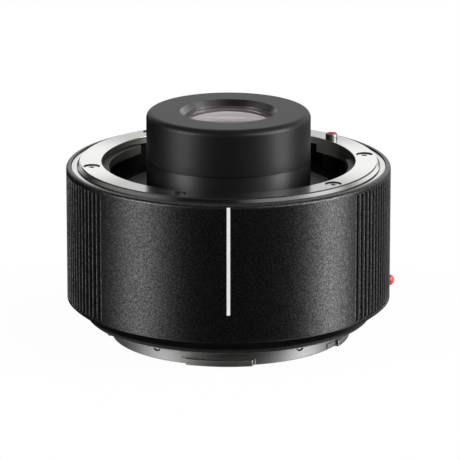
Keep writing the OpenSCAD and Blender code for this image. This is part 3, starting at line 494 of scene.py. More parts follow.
# Painted shade from the face attribute: towards olive grey with less metal, then towards black.
dull_and_shaded = soft_step(shade, 0.0, 0.5)
bright = mount_steel.blend(1.0, mount_steel.feed("Base Color"), painted_sheen, "MULTIPLY")
dulled_and_shaded = mount_steel.blend(dull_and_shaded, bright, OLIVE)
mount_steel.set("Base Color", mount_steel.blend(soft_step(shade, 0.5, 1.0), dulled_and_shaded, SHADOW))
mount_steel.set("Metallic", 1 - dull_and_shaded * 0.9)
mount_steel.set("Roughness", mount_steel.feed("Roughness") + shade * 0.35)
half_shaded = window(shade, 0.05, 0.1, 0.42, 0.5)
mount_steel.bump(level * half_shaded * (-THROAT_FLANK / MM), 1.0)
print("shaded steel:", len(mount_steel.tree.nodes), "nodes")

# %% [markdown]
# ### Coated glass
# Lens glass is clear, and its thin coating shifts what it mirrors to a faint pink and
# violet. The specular tint stands for the coating, and a trace of haze in the roughness
# keeps the large front lens from looking like a hole.

# %% Lens glass
COATING = (1.0, 0.85, 0.88, 1)
glass = Finish("coated_glass", Transmission_Weight=1.0, IOR=1.72,
               Base_Color=(0.66, 0.61, 0.63, 1), Specular_Tint=COATING,
               Specular_IOR_Level=0.5, Sheen_Weight=0.10, Sheen_Roughness=0.35,
               Sheen_Tint=COATING)
dust = glass.noise(1.4, 4.0, 0.6)
glass.set("Roughness", soft_step(dust, 0.55, 0.85) * 0.02)
finish["lens_glass"] = glass
print("slots with a finish:", len(finish))

# %% [markdown]
# ## Seating a piece
# A finished mesh gets its material, by default the finish of its node's slot in the record,
# smooth shading with the real edges kept sharp, and the CAD body that carries it. The CAD
# node that it stands for is hidden.
# Weighted normals keep wide flat faces flat beside their small rounds.

# %% Seat
slot_of = {piece["node"]: piece["material_slot"] for piece in frame["record"]["subparts"]}
dressed = set()


def seat(obj, body, node, look=None, angle=35, weighted=True):
    slot = slot_of[node]
    obj.data.materials.clear()
    obj.data.materials.append((look or finish[slot]).material)
    obj.data.shade_smooth()
    obj.data.set_sharp_from_angle(angle=math.radians(angle))
    if weighted:
        even = obj.modifiers.new("even", "WEIGHTED_NORMAL")
        even.keep_sharp = True
        settle(obj)
    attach(obj, body)
    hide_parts(node)
    dressed.add(node)
    obj.data.calc_loop_triangles()
    print(f"{obj.name}: {len(obj.data.loop_triangles)} triangles for {node}")


print("nodes with a slot:", len(slot_of))

# %% [markdown]
# ## Growing geometry by rule
# What repeats is made by Geometry Nodes. Each tree is opened with named inputs for its
# sizes, and `grow` sets them by the sockets' identifiers before the tree first runs, then
# turns the result into a plain mesh.

# %% Geometry Nodes helpers
KINDS = {float: "NodeSocketFloat", int: "NodeSocketInt", bool: "NodeSocketBool"}


def open_tree(name, sizes):
    """A new tree, its input wires by name, and the incoming geometry."""
    tree = bpy.data.node_groups.new(name, "GeometryNodeTree")
    socket = tree.interface.new_socket
    socket("Geometry", in_out="INPUT", socket_type="NodeSocketGeometry")
    for label, value in sizes.items():
        kind = KINDS[type(value)]
        socket(label, in_out="INPUT", socket_type=kind).default_value = value
    socket("Finish", in_out="INPUT", socket_type="NodeSocketMaterial")
    socket("Geometry", in_out="OUTPUT", socket_type="NodeSocketGeometry")
    entry = tree.nodes.new("NodeGroupInput")
    wires = {label: Wire(tree, entry, label) for label in [*sizes, "Finish"]}
    return tree, wires, Wire(tree, entry, "Geometry")


def close_tree(tree, geometry, finish_wire):
    real = add(tree, "GeometryNodeRealizeInstances", None, {0: geometry})
    made = add(tree, "GeometryNodeSetMaterial", None, {
        "Geometry": real, "Material": finish_wire})
    tree.links.new(made.socket, tree.nodes.new("NodeGroupOutput").inputs[0])
    print("tree", tree.name, "has", len(tree.nodes), "nodes")


def grow(obj, tree, sizes, look):
    rule = obj.modifiers.new(tree.name, "NODES")
    rule.node_group = tree
    for item in tree.interface.items_tree:
        if item.in_out == "INPUT" and item.name in sizes:
            rule[item.identifier] = sizes[item.name]
        elif item.in_out == "INPUT" and item.name == "Finish":
            rule[item.identifier] = look.material
    return settle(obj)


def vector(tree, x, y, z):
    return add(tree, "ShaderNodeCombineXYZ", None, {0: x, 1: y, 2: z})


def position(tree):
    return split(tree, add(tree, "GeometryNodeInputPosition"))


print("tree helpers: open_tree, close_tree, grow, vector, position")

# %% [markdown]
# ## The outer barrel
# The barrel is a thin tube with a rounded lip, and a grip zone of fine upright grooves
# at each side. A boolean with fifty cutters would be slow and would leave slivers, so the
# tube is turned with many steps round, and a tree sinks its wall by the grooves' own
# rule: the depth of a round cutter at each point's distance from the nearest groove.

# %% The groove rule
NEAR_WALL = 0.00005
tree, size, tube = open_tree("grip_grooves", {
    "Wall radius": 0.0369, "First groove": 51.0, "Pitch": 2.5, "Grooves": 25.0,
    "Cutter radius": 0.0005, "Depth": 0.00035, "Foot": 0.0092, "Top": 0.0387,
    "Run-out": 0.0002})
x, y, z = position(tree)
radius = off_axis(x, y)
turn = abs(x.math("ARCTAN2", x, -y)) * (180 / math.pi)
count = (turn - size["First groove"]) / size["Pitch"]
whole = x.math("MAXIMUM", x.math("ROUND", count), 0.0)
nearest = x.math("MINIMUM", whole, size["Grooves"] - 1)
aside = (count - nearest) * size["Pitch"] * (math.pi / 180) * size["Wall radius"]
chord = size["Cutter radius"] * size["Cutter radius"] - aside * aside
reach = x.math("SQRT", x.math("MAXIMUM", chord, 0.0))
sunk = x.math("MAXIMUM", reach - (size["Cutter radius"] - size["Depth"]), 0.0)
ends = window(z, size["Foot"], size["Foot"] + size["Run-out"],
              size["Top"] - size["Run-out"], size["Top"])
cut = sunk * ends * (radius > size["Wall radius"] - NEAR_WALL)
moved = add(tree, "GeometryNodeSetPosition", None, {
    "Geometry": tube, "Offset": vector(tree, -(x / radius) * cut, -(y / radius) * cut, 0.0)})
close_tree(tree, moved, size["Finish"])

# %% [markdown]
# ### The tube and the button's hole
# The profile has close rows of points at both ends of the grooves, so that they stop
# sharply, and wide ones between. The release button needs a hole with round ends. The same
# helper makes the button later, so the two fit with an even gap.

# %% Turn the tube, groove it, and cut the button's hole
BARREL_R, BARREL_IN_R, Z_BREAK, FOOT_BREAK, Z_LIP, LIP_ROUND = 36.88, 35.75, 8.7, 0.12, 39.8, 0.8
GROOVE_FOOT, GROOVE_TOP = 9.2, 38.7
LOCK_ANGLE, Z_BUTTON, BUTTON_W, BUTTON_H, BUTTON_GAP = 38.5, 26.5, 9.0, 5.0, 0.2


def oblong(name, width, height, near, far, edge=0.0, steps=24, rounds=6):
    """A bar with round ends lying along X at the button's height, its outer edge rounded."""
    bm = bmesh.new()
    bends = sweep(math.pi / 2, rounds) if edge else [math.pi / 2]
    layers = [(near, 0.0)]
    layers += [(far - edge + edge * math.sin(t), edge * (1 - math.cos(t))) for t in bends]
    loops = []
    for depth, inset in layers:
        end_r, reach = height / 2 - inset, (width - height) / 2
        loop = []
        for k in range(2 * steps):
            angle = math.pi * (k + 0.5) / steps - math.pi / 2
            side = reach if k < steps else -reach
            loop.append(bm.verts.new((depth * MM, (side + end_r * math.cos(angle)) * MM,
                                      (Z_BUTTON + end_r * math.sin(angle)) * MM)))
        loops.append(loop)
    for a, b in zip(loops, loops[1:]):
        for k in range(len(a)):
            bm.faces.new((a[k - 1], a[k], b[k], b[k - 1]))
    bm.faces.new(loops[0])
    bm.faces.new(loops[-1])
    return as_object(name, bm)


rows = [Z_BREAK + FOOT_BREAK, *(GROOVE_FOOT + d for d in (-0.1, 0.0, 0.1, 0.2)),
        *range(12, 39, 3), *(GROOVE_TOP + d for d in (-0.2, -0.1, 0.0, 0.1))]
lip = rounded([(BARREL_R, Z_LIP - 2), (BARREL_R, Z_LIP, LIP_ROUND), (BARREL_IN_R, Z_LIP)], 8)
barrel = turned("barrel", [(BARREL_R - FOOT_BREAK, Z_BREAK), *((BARREL_R, row) for row in rows),
                           *lip[1:], (BARREL_IN_R, Z_BREAK)], 1440)
grow(barrel, tree, {"Wall radius": BARREL_R * MM, "Foot": GROOVE_FOOT * MM,
                    "Top": GROOVE_TOP * MM}, paint)
hole = oblong("button_hole", BUTTON_W + 2 * BUTTON_GAP, BUTTON_H + 2 * BUTTON_GAP, 30, 40)
carve(barrel, place(hole, about_z(LOCK_ANGLE)))
seat(barrel, "housing", "outer_barrel", angle=30)

# %% [markdown]
# ## Trim ring and seal
# Below the barrel a smooth ring tapers in to the rear mount, and a thin rubber seal
# hangs under its lip to meet the camera. Both are plain turned rings; the upper corner
# of the taper is rounded a little, which draws the bright line along the barrel's foot.

# %% Turn the trim ring and the seal
TRIM_R, TRIM_LIP_R, Z_TRIM = 36.9, 32.4, 5.3
trim = turned("trim_ring", rounded([
    (TRIM_LIP_R, Z_TRIM, 0.3), (TRIM_R, Z_BREAK, 0.28), (35.73, Z_BREAK), (35.73, 10.6),
    (34.27, 10.6), (34.27, 7.7), (TRIM_LIP_R, 7.7)]))
seat(trim, "housing", "rear_trim_ring")
seal = turned("lip_seal", rounded([
    (32.12, 4.7, 0.1), (32.38, 4.7, 0.1), (32.38, 5.9), (32.12, 5.9)]))
seat(seal, "housing", "rear_seal")

# %% [markdown]
# ## The index line and the index dome
# A white line marks the front, and a red dome low on the right side is the mark that the
# user lines up with the camera. The line is a thin layer of ink, so it is a curved strip
# two hundredths proud of the paint, and it bends with the lip. The dome is turned and then
# laid on its side.

# %% Line and dome
LINE_W, LINE_FOOT, LINE_BEND, INK, INK_ROOT = 0.77, 14.8, 32.0, 0.02, 0.08


def along_lip(offset):
    """The start of the barrel's lip as a profile, moved out by an offset."""
    reach = LIP_ROUND + offset
    return [(BARREL_R - LIP_ROUND + reach * math.cos(t), Z_LIP - LIP_ROUND + reach * math.sin(t))
            for t in sweep(math.radians(LINE_BEND), 6)]


half_turn = math.degrees(LINE_W / 2 / BARREL_R)
outer, inner = along_lip(INK), along_lip(-INK_ROOT)
line = turned("index_ink", [(inner[0][0], LINE_FOOT), (outer[0][0], LINE_FOOT), *outer,
                            *inner[::-1]], 8, 270 - half_turn, 270 + half_turn)
seat(line, "housing", "index_line", weighted=False)

DOME_X, DOME_R, DOME_Z, STEM_R = 36.6, 1.3, 12.3, 0.9
stem_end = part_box("index_dome")[0][0] / MM
cap = [(DOME_R * math.cos(t), DOME_X + DOME_R * math.sin(t)) for t in sweep(math.pi / 2, 14)]
dome = turned("red_dome", [(0.0, stem_end), (STEM_R, stem_end), (STEM_R, DOME_X), *cap[:-1],
                           (0.0, DOME_X + DOME_R)], 64)
place(dome, Matrix.Rotation(math.pi / 2, 4, "Y"), Matrix.Translation((0, 0, DOME_Z * MM)))
seat(dome, "housing", "index_dome", gloss_red)

# %% [markdown]
# ## The front mount
# Two bright rings close the front: a narrow step just inside the lip, and the bayonet
# ring with four tabs, a boss for the lock pin and six screw recesses. The tabs are
# short arcs of the same turning, united with the ring by booleans, and then it is drilled.

# %% Step ring and bayonet ring
THROAT_R, TAB_R, SKIRT_R, FACE_R, RING_R = 28.84, 27.2, 29.8, 33.65, 34.4
Z_FRONT, Z_GROOVE, Z_EDGE, Z_RING_FOOT = 40.7, 40.45, 39.8, 39.1
Z_TAB_TOP, Z_TAB_FOOT, BOSS_R, Z_BOSS = 39.35, 37.25, THROAT_R + 0.02, Z_RING_FOOT + 0.3
SCREW_CIRCLE, RECESS_R, Z_RECESS, SHANK_R = 31.4, 1.9, 39.85, 0.85
PIN_CIRCLE, PIN_R, PIN_PLAY = 30.39, 1.35, 0.1
RING_SCREWS = [9, 67, 125, 190.5, 249, 318]
FRONT_TABS = [(-36, 11), (75, 105), (138, 190), (240, 272)]


def on_circle(radius, angle, z):
    a = math.radians(angle)
    return Vector((radius * math.cos(a), radius * math.sin(a), z))


def rod(name, radius, foot, top, circle, angle, steps=64):
    """An upright cylinder on a circle round the optical axis."""
    return place(turned(name, [(0, foot), (radius, foot), (radius, top), (0, top)], steps),
                 Matrix.Translation(on_circle(circle, angle, 0) * MM))


seat_ring = turned("step_ring", rounded([
    (30.32, 37.4), (35.6, 37.4), (35.6, 39.48), (34.45, 39.48), (34.45, Z_RING_FOOT),
    (30.32, Z_RING_FOOT)]))
seat(seat_ring, "housing", "front_seat_ring")

mount = turned("front_bayonet", rounded([
    (THROAT_R, Z_RING_FOOT), (RING_R, Z_RING_FOOT), (RING_R, Z_EDGE), (33.86, Z_GROOVE),
    (FACE_R, Z_GROOVE), (FACE_R, Z_FRONT), (THROAT_R, Z_FRONT, 0.16)]))
for first, last in FRONT_TABS:
    tab = turned("tab", rounded([
        (TAB_R, Z_TAB_FOOT, 0.15), (SKIRT_R, Z_TAB_FOOT), (SKIRT_R, Z_TAB_TOP),
        (TAB_R, Z_TAB_TOP, 0.15)], 3), last - first, first, last)
    carve(mount, tab, "UNION")
boss = turned("boss", [(BOSS_R, Z_TAB_FOOT), (SKIRT_R, Z_TAB_FOOT), (SKIRT_R, Z_BOSS),
                       (BOSS_R, Z_BOSS)], 32, 13, 45)
carve(mount, boss, "UNION")
for name, bore, foot, top in (("recess", RECESS_R, Z_RECESS, 42),
                              ("shank", SHANK_R, 38, Z_RECESS + 0.05)):
    drills = [rod(name, bore, foot, top, SCREW_CIRCLE, a) for a in RING_SCREWS]
    carve(mount, join(name, *drills))
carve(mount, rod("pin_hole", PIN_R + PIN_PLAY, 36, 42, PIN_CIRCLE, LOCK_ANGLE))
seat(mount, "housing", "front_mount_ring", mount_steel)

# %% [markdown]
# ### The painted shades of the mount ring
# Each face of the ring gets its number from where it is: the recesses, the groove, the outer
# wall below the edge and the underside are painted black as shadow, the face is bright, the
# upward faces in the throat are painted black, and the throat's wall gets painted shade by an
# amount that changes round the circle, as the photograph shows it.

# %% Paint shade on the faces
THROAT_PAINTED_SHADES = [(-61, 0.5), (-60, 0.92), (26, 0.86), (46, 0.38), (110, 0.38), (125, 0.52),
                 (134, 0.63), (140, 0.67), (150, 0.81), (169, 0.92)]  # degrees, shade


def painted_shade_of(face):
    """How much painted shade a face of the mount ring gets, from its middle and its normal."""
    x, y, z = face.center / MM
    radius, turn = math.hypot(x, y), math.degrees(math.atan2(y, x))
    bores = [(on_circle(SCREW_CIRCLE, a, z), RECESS_R) for a in RING_SCREWS]
    bores.append((on_circle(PIN_CIRCLE, LOCK_ANGLE, z), PIN_R + PIN_PLAY))
    in_bore = any((Vector((x, y, z)) - middle).length < r + 0.05 for middle, r in bores)
    edge = z < Z_EDGE - 0.02 and radius > RING_R - 0.1
    groove = radius > FACE_R - 0.15 and Z_GROOVE < z < Z_FRONT - 0.05
    # Recesses, the pin hole, the outer wall below the edge and the groove are painted black as
    # shadow.
    if z < Z_FRONT - 0.03 and in_bore or edge or groove:
        return 1.0
    # The underside is painted black as shadow.
    if z < Z_RING_FOOT and face.normal.z < -0.5:
        return 1.0
    # In the throat, upward faces are painted black and the wall gets painted shade that changes
    # round the circle.
    if radius < THROAT_R + 0.1 and z < Z_FRONT - 0.1:
        return 1.0 if face.normal.z > 0.9 else float(np.interp(turn, *zip(*THROAT_PAINTED_SHADES)))
    return 0.0


# Stores each face's painted shade as a face attribute.
def paint_shade_on_faces(obj, rule):
    values = [rule(face) for face in obj.data.polygons]
    obj.data.attributes.new("shade", "FLOAT", "FACE").data.foreach_set("value", values)
    print("dull faces:", sum(1 for value in values if value > 0), "of", len(values))


paint_shade_on_faces(mount, painted_shade_of)

# %% [markdown]
# ## Screws
# The same kind of screw holds both mounts: a flat head with a broken edge and a slot or
# a cross. One tree makes the head, cuts its slots and sets copies on the seats that the
# script marks with points. Each is turned by a seeded random amount, because nobody
# lines up screw slots.

# %% The screw rule
EXACT_CUT = {"operation": "DIFFERENCE", "solver": "EXACT"}


def blank(tree, radius, height, edge, sides=48):
    """A round blank centred on the origin, with its upper edge broken by a bevel."""
    body = add(tree, "GeometryNodeMeshCylinder", None, {
        "Vertices": sides, "Side Segments": 2, "Radius": radius, "Depth": height})
    x, y, z = position(tree)
    upper, middle = z > height * 0.25, 1 - (abs(z) > height * 0.25)
    inward = upper * (edge / radius) * -1.0
    offset = vector(tree, x * inward, y * inward, middle * (height * 0.5 - edge))
    return add(tree, "GeometryNodeSetPosition", None, {"Geometry": body, "Offset": offset})


def shifted(tree, geometry, lift, turn=0.0):
    return add(tree, "GeometryNodeTransform", None, {
        "Geometry": geometry, "Translation": vector(tree, 0.0, 0.0, lift),
        "Rotation": (0.0, 0.0, turn)})


tree, size, seats = open_tree("screws", {
    "Head radius": 0.0018, "Head height": 0.0007, "Edge": 0.00012, "Slot length": 0.0019,
    "Slot width": 0.00042, "Slot depth": 0.00045, "Shank radius": 0.0008,
    "Shank length": 0.005, "Crossed": True, "Seed": 7})
head = blank(tree, size["Head radius"], size["Head height"], size["Edge"])
bar = add(tree, "GeometryNodeMeshCube", None, {
    "Size": vector(tree, size["Slot length"], size["Slot width"], size["Slot depth"] * 2)})
top = size["Head height"] * 0.5
slot_2 = add(tree, "GeometryNodeSwitch", {"input_type": "GEOMETRY"}, {
    "Switch": size["Crossed"], "True": shifted(tree, bar, top, math.pi / 2)})
for slot_cut in (shifted(tree, bar, top), slot_2):
    head = add(tree, "GeometryNodeMeshBoolean", EXACT_CUT, {"Mesh 1": head, "Mesh 2": slot_cut})
stem_h = size["Shank length"] + size["Head height"] * 0.2
stem = shifted(tree, add(tree, "GeometryNodeMeshCylinder", None, {
    "Vertices": 24, "Radius": size["Shank radius"], "Depth": stem_h}), top * -0.6 - stem_h * 0.5)
screw = shifted(tree, add(tree, "GeometryNodeJoinGeometry", None, {0: [head, stem]}), -top)
axis = add(tree, "GeometryNodeInputNamedAttribute", {"data_type": "FLOAT_VECTOR"},
           {"Name": "axis"})
upright = add(tree, "FunctionNodeAlignRotationToVector", {"axis": "Z"}, {"Vector": axis})
twist = add(tree, "FunctionNodeRandomValue", {"data_type": "FLOAT"}, {
    2: 0.0, 3: math.pi, "Seed": size["Seed"]}, 1)
spin = add(tree, "FunctionNodeAxisAngleToRotation", None, {
    "Axis": (0.0, 0.0, 1.0), "Angle": twist})
aimed = add(tree, "FunctionNodeRotateRotation", {"rotation_space": "LOCAL"},
            {0: upright, 1: spin})
copies = add(tree, "GeometryNodeInstanceOnPoints", None, {
    "Points": seats, "Instance": screw, "Rotation": aimed})
close_tree(tree, copies, size["Finish"])
screws_tree = tree

# %% [markdown]
# ### Setting the screws
# Six screws lie sunk in the front ring, four hold the rear flange, and two small slotted
# ones show in the side of the rear spigot. Each seat is a point that carries the direction
# its screw faces, and the tree does the rest. The front screws' sunk parts are painted black
# as shade.

# %% Mark the seats and set the screws
Z_HEADS, FRONT_TOP = 40.45, 0.05
REAR_CIRCLE, REAR_SCREW_Z, REAR_SCREWS = 29.1, 4.5, (20, 110, 200, 290)
SIDE_HEAD_R, SIDE_SCREW_Z, SIDE_SCREWS = 26.62, 2.9, (233, 307)


def marked(name, places):
    """A mesh of points, each with the direction that its screw faces."""
    mesh = bpy.data.meshes.new(name)
    mesh.from_pydata([Vector(spot) * MM for spot, _ in places], [], [])
    facing = mesh.attributes.new("axis", "FLOAT_VECTOR", "POINT")
    for item, (_, way) in zip(facing.data, places):
        item.vector = way
    obj = bpy.data.objects.new(name, mesh)
    bpy.context.collection.objects.link(obj)
    return obj


front_screws = marked("front_screws", [
    (on_circle(SCREW_CIRCLE, a, Z_HEADS), (0, 0, 1)) for a in RING_SCREWS])
grow(front_screws, screws_tree, {"Head radius": 0.00165, "Head height": 0.0006,
                                 "Slot length": 0.0014, "Slot width": 0.0005}, mount_steel)
seat(front_screws, "housing", "front_mount_screws", mount_steel, weighted=False)
# Slots and sides below the head's top are painted black as shade.
paint_shade_on_faces(front_screws, lambda face: float(face.center.z < (Z_HEADS - FRONT_TOP) * MM))

rear_screws = marked("rear_screws", [
    (on_circle(REAR_CIRCLE, a, REAR_SCREW_Z), (0, 0, -1)) for a in REAR_SCREWS])
grow(rear_screws, screws_tree, {"Head radius": 0.0017, "Head height": 0.00065,
                                "Shank length": 0.0023, "Seed": 3}, finish["screw_steel"])
seat(rear_screws, "housing", "rear_flange_screws", weighted=False)

# The side screws take the spigot's steel, painted darker as shade.
side_screws = marked("side_screws", [
    (on_circle(SIDE_HEAD_R, a, SIDE_SCREW_Z), on_circle(1, a, 0)) for a in SIDE_SCREWS])
grow(side_screws, screws_tree, {
    "Head radius": 0.00085, "Head height": 0.0016, "Edge": 0.0001, "Slot length": 0.003,
    "Slot width": 0.0003, "Slot depth": 0.0004, "Shank radius": 0.0008, "Shank length": 0.0015,
    "Crossed": False, "Seed": 11}, spigot_shaded_steel)
seat(side_screws, "housing", "spigot_screws", spigot_shaded_steel, weighted=False)

# %% [markdown]
# ## The lock pin
# The pin stands out of the front ring, drops when the button at the side is pressed, and
# has a red top. It is turned with a round nose, and a slit for the button's plate and a
# hole for the cross pin are cut through its lower half.

# %% Lock pin and its red top
Z_PIN, PIN_FOOT, SLIT_FOOT, SLIT_TOP, SLIT_W = 42.1, 21.45, 23.35, 30.2, 1.2
MARK_R, Z_MARK, CROSS_R, THROUGH = 1.05, Z_PIN - 0.3, 0.5, 3


def slab(name, low, high):
    bm = bmesh.new()
    bmesh.ops.create_cube(bm, size=1.0)
    low, high = Vector(low), Vector(high)
    for v in bm.verts:
        v.co = Vector([(l + h) / 2 + c * (h - l) for l, h, c in zip(low, high, v.co)]) * MM
    return as_object(name, bm)


pin = turned("lock_pin_body", rounded([
    (0, PIN_FOOT), (PIN_R, PIN_FOOT, 0.15), (PIN_R, Z_PIN, 0.28), (MARK_R, Z_PIN),
    (MARK_R, Z_MARK), (0, Z_MARK)]), 72)
place(pin, Matrix.Translation((PIN_CIRCLE * MM, 0, 0)))
carve(pin, slab("slit", (PIN_CIRCLE - THROUGH, -SLIT_W / 2, SLIT_FOOT),
                (PIN_CIRCLE + THROUGH, SLIT_W / 2, SLIT_TOP)))
cross_hole = turned("cross_hole", [(0, -THROUGH), (CROSS_R, -THROUGH), (CROSS_R, THROUGH),
                                   (0, THROUGH)], 32)
carve(pin, place(cross_hole, Matrix.Rotation(math.pi / 2, 4, "X"),
                 Matrix.Translation((PIN_CIRCLE * MM, 0, Z_BUTTON * MM))))
seat(place(pin, about_z(LOCK_ANGLE)), "lock_pin", "lock_pin")

tip = turned("lock_pin_mark", rounded([
    (0, Z_MARK), (MARK_R, Z_MARK), (MARK_R, Z_PIN - 0.04, 0.08), (0.5, Z_PIN - 0.01),
    (0, Z_PIN)]), 48)
place(tip, Matrix.Translation((PIN_CIRCLE * MM, 0, 0)), about_z(LOCK_ANGLE))
seat(tip, "lock_pin", "lock_pin_tip")

# %% [markdown]
# ## The release button
# The button is a bar with round ends, and a rim behind the barrel's wall keeps it in. It
# has five shallow flutes for the thumb, cut by a tree that sets a row of round cutters
# along its face. A slot in its back takes the plate that pushes the lock pin down.

# %% The flute rule and the button
BUTTON_OUT, BUTTON_IN, BUTTON_EDGE, RIM_R, RIM_T, RIM = 38.4, 34.15, 0.35, 35.0, 0.7, 0.7
PLATE_W, PLATE_DOWN, PLATE_UP = 0.9, 2.85, 1.6
tree, size, body = open_tree("thumb_flutes", {
    "Flutes": 5, "Pitch": 0.0012, "Cutter radius": 0.0005, "Depth": 0.00015, "Face": 0.0384,
    "Height": 0.0265})
across = size["Pitch"] * (size["Flutes"] - 1) * -0.5
row = add(tree, "GeometryNodeMeshLine", None, {
    "Count": size["Flutes"], "Offset": vector(tree, 0.0, size["Pitch"], 0.0),
    "Start Location": vector(tree, size["Face"] + size["Cutter radius"] - size["Depth"], across,
                             size["Height"])})
cutter = add(tree, "GeometryNodeMeshCylinder", None, {
    "Vertices": 32, "Radius": size["Cutter radius"], "Depth": 0.01})
cutters = add(tree, "GeometryNodeRealizeInstances", None, {
    0: add(tree, "GeometryNodeInstanceOnPoints", None, {"Points": row, "Instance": cutter})})
fluted = add(tree, "GeometryNodeMeshBoolean", EXACT_CUT, {"Mesh 1": body, "Mesh 2": cutters})
close_tree(tree, fluted, size["Finish"])

button = oblong("release_key", BUTTON_W, BUTTON_H, BUTTON_IN, BUTTON_OUT, BUTTON_EDGE)
rim = oblong("key_rim", BUTTON_W + 2 * RIM, BUTTON_H + 2 * RIM, RIM_R - RIM_T, RIM_R)
carve(button, rim, "UNION")
carve(button, slab("plate_slot", (33, -PLATE_W / 2, Z_BUTTON - PLATE_DOWN),
                   (34.75, PLATE_W / 2, Z_BUTTON + PLATE_UP)))
grow(button, tree, {}, finish["button_black"])
seat(place(button, about_z(LOCK_ANGLE)), "release_button", "release_button")

# %% [markdown]
# ## The hood and the lens barrel
# The black hood stands out of the throat. It is screwed over the lens barrel, and a fine
# seam shows where the two meet. Its top is flat with a broad round, and the opening is
# bevelled down to a dark retaining ring that holds the front lens.

# %% Turn the hood, the lens barrel and the retaining ring
HOOD_R, Z_HOOD, Z_SEAM, Z_HOLD, Z_HOLD_TOP = 18.65, 52.15, 41.45, 50.3, 50.8
hood = turned("hood", rounded([
    (HOOD_R, Z_SEAM), (HOOD_R, Z_HOOD, 1.5), (11.0, Z_HOOD, 0.15), (9.94, 50.9),
    (9.94, Z_HOLD_TOP), (12.62, Z_HOLD_TOP), (12.62, Z_HOLD), (13.62, Z_HOLD),
    (13.62, Z_SEAM)], 9))
seat(hood, "housing", "front_hood")

TUBE_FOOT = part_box("lens_barrel")[0][2] / MM
tube = turned("lens_tube", rounded([
    (14.05, TUBE_FOOT), (16.5, TUBE_FOOT, 0.2), (16.5, 29.4), (21.6, 29.4), (21.6, 31.0),
    (HOOD_R, 31.0), (HOOD_R, 41.22), (18.15, 40.95), (18.15, Z_SEAM), (13.6, Z_SEAM),
    (13.6, Z_HOLD), (10.45, Z_HOLD), (10.45, 35.709), (9.2, 35.709), (9.2, 34.209),
    (14.05, 34.209)]))
seat(tube, "housing", "lens_barrel", tube_black)
retainer = turned("front_ring", rounded([
    (9.9, Z_HOLD), (12.6, Z_HOLD), (12.6, Z_HOLD_TOP), (9.9, Z_HOLD_TOP, 0.1)]))
seat(retainer, "housing", "front_retainer")

# %% [markdown]
# ## The front lens
# A lens is two spherical faces and an edge. Turning it from fine arcs gives clean
# reflections; the CAD mesh is coarser and would show its facets in the mirror.

# %% Turn the front lens
LENS_R, LENS_TOP, LENS_T, FACE_RADIUS, BACK_RADIUS = 10.4, 51.312, 4.8, 48.0, 36.0


def sag(radius, r):
    return radius - math.sqrt(radius * radius - r * r)


steps = sweep(LENS_R, 24)
upper = [(r, LENS_TOP - sag(FACE_RADIUS, r)) for r in steps]
lower = [(r, LENS_TOP - LENS_T + sag(BACK_RADIUS, r)) for r in steps]
lens = turned("front_lens", upper + lower[::-1], 160)
seat(lens, "housing", "lens_1a", weighted=False)

# %% [markdown]
# ## The throat
# Behind the front ring the cavity is flat black, with a raised grey plate on its floor.
# The plate is a long arc that leaves room for the contact block.

# %% Turn the floor plate
PLATE_IN_R, PLATE_OUT_R, Z_FLOOR, Z_PLATE = 18.67, 24.5, 33.4, 33.9
plate = turned("floor_plate", rounded([
    (PLATE_IN_R, Z_FLOOR), (PLATE_OUT_R, Z_FLOOR), (PLATE_OUT_R, Z_PLATE, 0.12),
    (PLATE_IN_R, Z_PLATE, 0.1)], 3), 316, 117.1, 432.9)
seat(plate, "housing", "throat_plate")

# %% [markdown]
# ## Contacts
# Ten sprung gold pins face the lens and ten flat pads face the camera, each set on
# an arc. One tree sets them: it bends a line of points on to the arc and puts a round
# blank with a broken edge on each.

# %% The contact rule, the pins and the pads
CONTACT_ARC = {"Count": 10, "Centre angle": 95.0, "Pitch": 4.0, "Circle": 0.0232}


def arc_of_points(tree, size, height):
    """A line of points bent on to an arc about the axis."""
    line = add(tree, "GeometryNodeMeshLine", None, {"Count": size["Count"]})
    number = add(tree, "GeometryNodeInputIndex")
    turn = size["Centre angle"] + (number - (size["Count"] - 1) * 0.5) * size["Pitch"]
    angle = turn * (math.pi / 180)
    return add(tree, "GeometryNodeSetPosition", None, {"Geometry": line, "Position": vector(
        tree, angle.math("COSINE", angle) * size["Circle"],
        angle.math("SINE", angle) * size["Circle"], height)})


tree, size, _ = open_tree("contact_row", {
    **CONTACT_ARC, "Radius": 0.0004, "Edge": 0.0002, "Foot": 0.03455, "Top": 0.0371,
    "Facing": 1.0})
flip = vector(tree, (1 - size["Facing"]) * (math.pi / 2), 0.0, 0.0)
row = add(tree, "GeometryNodeInstanceOnPoints", None, {
    "Points": arc_of_points(tree, size, (size["Top"] + size["Foot"]) * 0.5),
    "Instance": blank(tree, size["Radius"], size["Top"] - size["Foot"], size["Edge"], 32),
    "Rotation": add(tree, "FunctionNodeEulerToRotation", None, {0: flip})})
close_tree(tree, row, size["Finish"])

pins = grow(marked("contact_pins_gold", []), tree, {}, finish["gold"])
seat(pins, "contact_pins", "contact_pins", weighted=False)
pads = grow(marked("contact_pads_gold", []), tree, {
    "Radius": 0.00055, "Edge": 0.00006, "Foot": 0.00035, "Top": 0.00075, "Facing": -1.0},
    finish["gold"])
seat(pads, "housing", "rear_contact_pads", weighted=False)

# %% [markdown]
# ## Springs
# The lock pin and the contact pins stand on coil springs. One tree winds them: a round
# wire along a spiral, and one such coil at each point of an arc.

